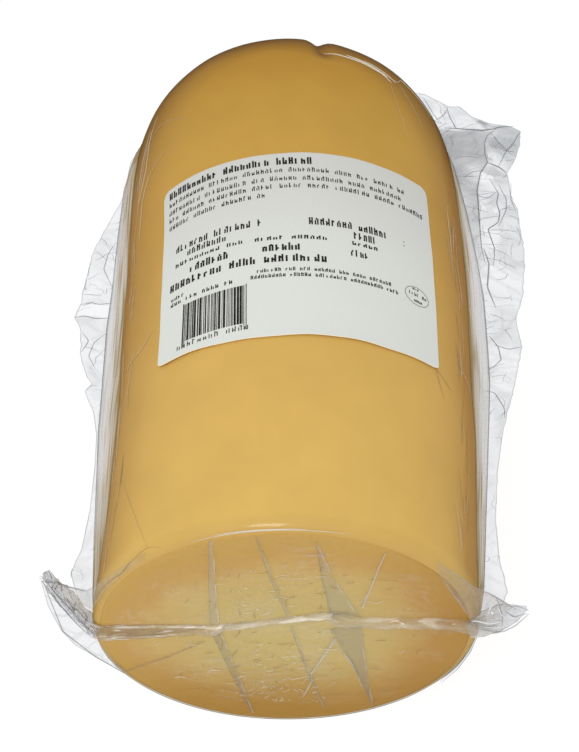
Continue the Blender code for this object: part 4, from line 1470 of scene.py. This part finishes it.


# Folds along the near corners, their gussets and the rim: crisp where the film turns over. The pale ones are
# painted highlights.

cornerFolds = (
    (((-59.5, -2.6, 61.5), (-63, -0.5, 64.5), (-68, 3.5, 68.5), (-73, 7, 73), (-75, 9, 76)),
     0.22, (0.0, 0.1, 0.42)),
    (((-60, -3, 60), (-65, 0.5, 63.5), (-70, 4.5, 68), (-74.5, 8.5, 74)), 0.2, (0, 0.55, 0)),
    (((-61, -1.6, 58.8), (-66, 2, 61.5), (-72, 6.5, 66.5), (-77, 11, 72)), 0.26, (0, 0.1, 0.5)),
    (((-62, -2, 62), (-66.5, 2, 66), (-69, 4, 69.5)), 0.18, (0, 0.6, 0)),
    (((-66, 2, 64), (-70, 6, 67.5), (-75.5, 10, 73.5)), 0.18, (0, 0.1, 0.38)),
    (((-75, 8, 76), (-72.5, 9.5, 74), (-74.5, 11, 71), (-77, 12, 70)), 0.24, (0, 0.2, 0.35)),
    (((61.6, -5.4, 80.4), (62.1, -5.4, 85.2), (63.3, -5.4, 88.8)), 0.26, (0, 0.75, 0)),
    (((63.4, -4.8, 90.4), (65.2, -4.8, 83.9), (66.6, -4.8, 77.5), (66.8, -4.8, 72.5)), 0.2, (0, 0.1, 0.35)),
    (((66.9, -1, 78), (69.6, -1, 78.7), (72.1, -1, 78.1), (75.1, -1, 75.7)), 0.16, (0, 0.1, 0.28)),
    (((67.3, -3.6, 79.8), (70.4, -3.6, 76.2), (74.1, -3.4, 78.4)), 0.22, (0, 0.1, 0.42)),
    (((59.6, -4.4, 70.4), (63.4, -4.4, 69.2), (67.5, -4.4, 68.6), (70.9, -4.4, 72.4), (74.4, -4.4, 79.7)),
     0.22, (0.0, 0.1, 0.30)),
    (((57, -5.4, 77), (59.1, -5.4, 76.8), (62.9, -5.4, 75.1), (65.9, -5.4, 76.3)), 0.26, (0, 0.75, 0)),
    (((58.4, -5.2, 74.4), (61.6, -5.2, 73.4), (64.6, -5.2, 73.8)), 0.18, (0, 0.1, 0.3)),
    (((61.3, -5, 72.5), (64.7, -5, 72), (68, -5, 73.2), (71.2, -4.8, 78)), 0.24, (0, 0.7, 0)),
    (((64.2, -5.4, 86), (66, -5.2, 80), (69, -4.6, 76.4), (72.6, -4, 78.4)), 0.18, (0, 0.6, 0)),
    (((45, -1.2, 99.8), (50, -1.7, 88.3), (55, -1.9, 77.3), (59, -2.3, 68.3)), 0.13, (0.35, 0.22, 0)),
    (((45.4, 0.2, 101.6), (52.5, 0.6, 92.8), (57.8, 2.2, 83.8), (62.5, 5.1, 76.3), (66, 6.6, 70.8)),
     0.15, (0.3, 0.2, 0.0)),
    (((62.5, 5, 76.3), (67, 5, 72), (70.5, 4, 69.6), (73, 3.5, 68)), 0.18, (0, 0.1, 0.3)),
    (((61.2, 3.4, 55), (59.2, 2.9, 43), (56, 2.2, 34), (51, 1.6, 25)), 0.26, (0, 0.85, 0)),
    (((61.5, 3.2, 54.4), (59.6, 2.6, 42.8), (56.4, 1.8, 33.6), (51.4, 1.2, 24.6)), 0.16, (0, 0, 0.4)),
    (((-77.5, 11, 75), (-72, 9.4, 73.2), (-67, 7.9, 72.8), (-62.5, 6, 74.2)), 0.2, (0, 0.1, 0.4)),
    (((-77.8, 14.6, 66), (-70.8, 2.4, 55.4), (-60.6, -1.3, 45.4), (-52.5, -1.4, 35.4)), 0.18, (0, 0.1, 0.4)),
)


def cornerPaths():
    folds = []
    for corners, radius, look in cornerFolds:
        folds.append((standing(evenPath(corners, spacing=0.7 * mm)), radius * mm, look))
    # the roll on the left is crumpled all along; its pale crumples are painted highlights
    rng = np.random.default_rng(231)
    roll, size = evenPath(earLook["leftPath"], count=60), spread(earLook["leftSizes"], 60)
    for crumple in range(foldLook["onRoll"]):
        step, across, corners = rng.integers(3, 56), rng.uniform(-0.8, 0.8), []
        for corner in range(rng.integers(3, 5)):
            corners.append(roll[step] / mm + size[step] * np.array([across, -0.45, 0.45 + across * 0.8]))
            step = int(np.clip(step + rng.integers(2, 7), 0, 59))
            across = np.clip(across + rng.normal(0.0, 0.45), -0.95, 0.95)
        look = (0.1, 0.6, 0.0) if rng.uniform() < 0.35 else (0.3, 0.0, rng.uniform(0.15, 0.4))
        folds.append((standing(evenPath(corners, spacing=0.4 * mm)), rng.uniform(0.1, 0.22) * mm, look))
    return folds


makeFolds("corner_folds", cornerPaths(), looseFilm)


# Camera

cameraPlace = {
    "elevation": 52.68,
    "distance": 654.9 * mm,
    "target": (0.9 * mm, 101.8 * mm, 0.0),  # from the middle of the cut face
    "roll": 0.33,
    "lens": 90.1,
}
elevation = math.radians(cameraPlace["elevation"])
target = Vector((axisX, cutY, axisZ)) + Vector(cameraPlace["target"])
backwards = Vector((0.0, -math.cos(elevation), math.sin(elevation)))
sideways = Vector((1.0, 0.0, 0.0))
roll = Matrix.Rotation(math.radians(cameraPlace["roll"]), 3, backwards)
axes = roll @ Matrix((sideways, backwards.cross(sideways), backwards)).transposed()
cameraData = bpy.data.cameras.new("camera")
cameraData.lens = cameraPlace["lens"]
cameraData.clip_start = 10 * mm
camera = bpy.data.objects.new("camera", cameraData)
bpy.context.scene.collection.objects.link(camera)
stand = target + backwards * cameraPlace["distance"]
camera.matrix_world = Matrix.Translation(stand) @ axes.to_4x4()
bpy.context.scene.camera = camera


# Light and floor

light = {
    "world": 0.62,
    "keyPower": 5.6,
    "keySize": 0.34,
    "keyPlace": Vector((-0.18, -0.62, 1.05)),
    "floorGlow": 0.93,
    "floorColour": "5a5a5a",
    "floorHalf": 2.5,
}
world = bpy.data.worlds.new("studio")
bpy.context.scene.world = world
world.use_nodes = True
world.node_tree.nodes["Background"].inputs["Color"].default_value = linearColour("ffffff")
world.node_tree.nodes["Background"].inputs["Strength"].default_value = light["world"]
bpy.context.scene.view_settings.view_transform = "Standard"

lamp = bpy.data.lights.new("key", "AREA")
lamp.energy = light["keyPower"]
lamp.size = light["keySize"]
key = bpy.data.objects.new("key", lamp)
bpy.context.scene.collection.objects.link(key)
key.location = light["keyPlace"]
key.rotation_euler = (target - light["keyPlace"]).to_track_quat("-Z", "Y").to_euler()

paper, add = newMaterial("white paper sweep")
glow = add("Emission", values={"Color": "ffffff", "Strength": light["floorGlow"]})
matte = add("BsdfDiffuse", values={"Color": light["floorColour"]})
both = add("AddShader", links={0: glow, 1: matte})
add("OutputMaterial", links={"Surface": both})
half = light["floorHalf"]
corners = [(-half, -half, 0.0), (half, -half, 0.0), (half, half, 0.0), (-half, half, 0.0)]
floor = meshObject("floor", corners, [(0, 1, 2, 3)], paper)
print("camera, light and floor set")
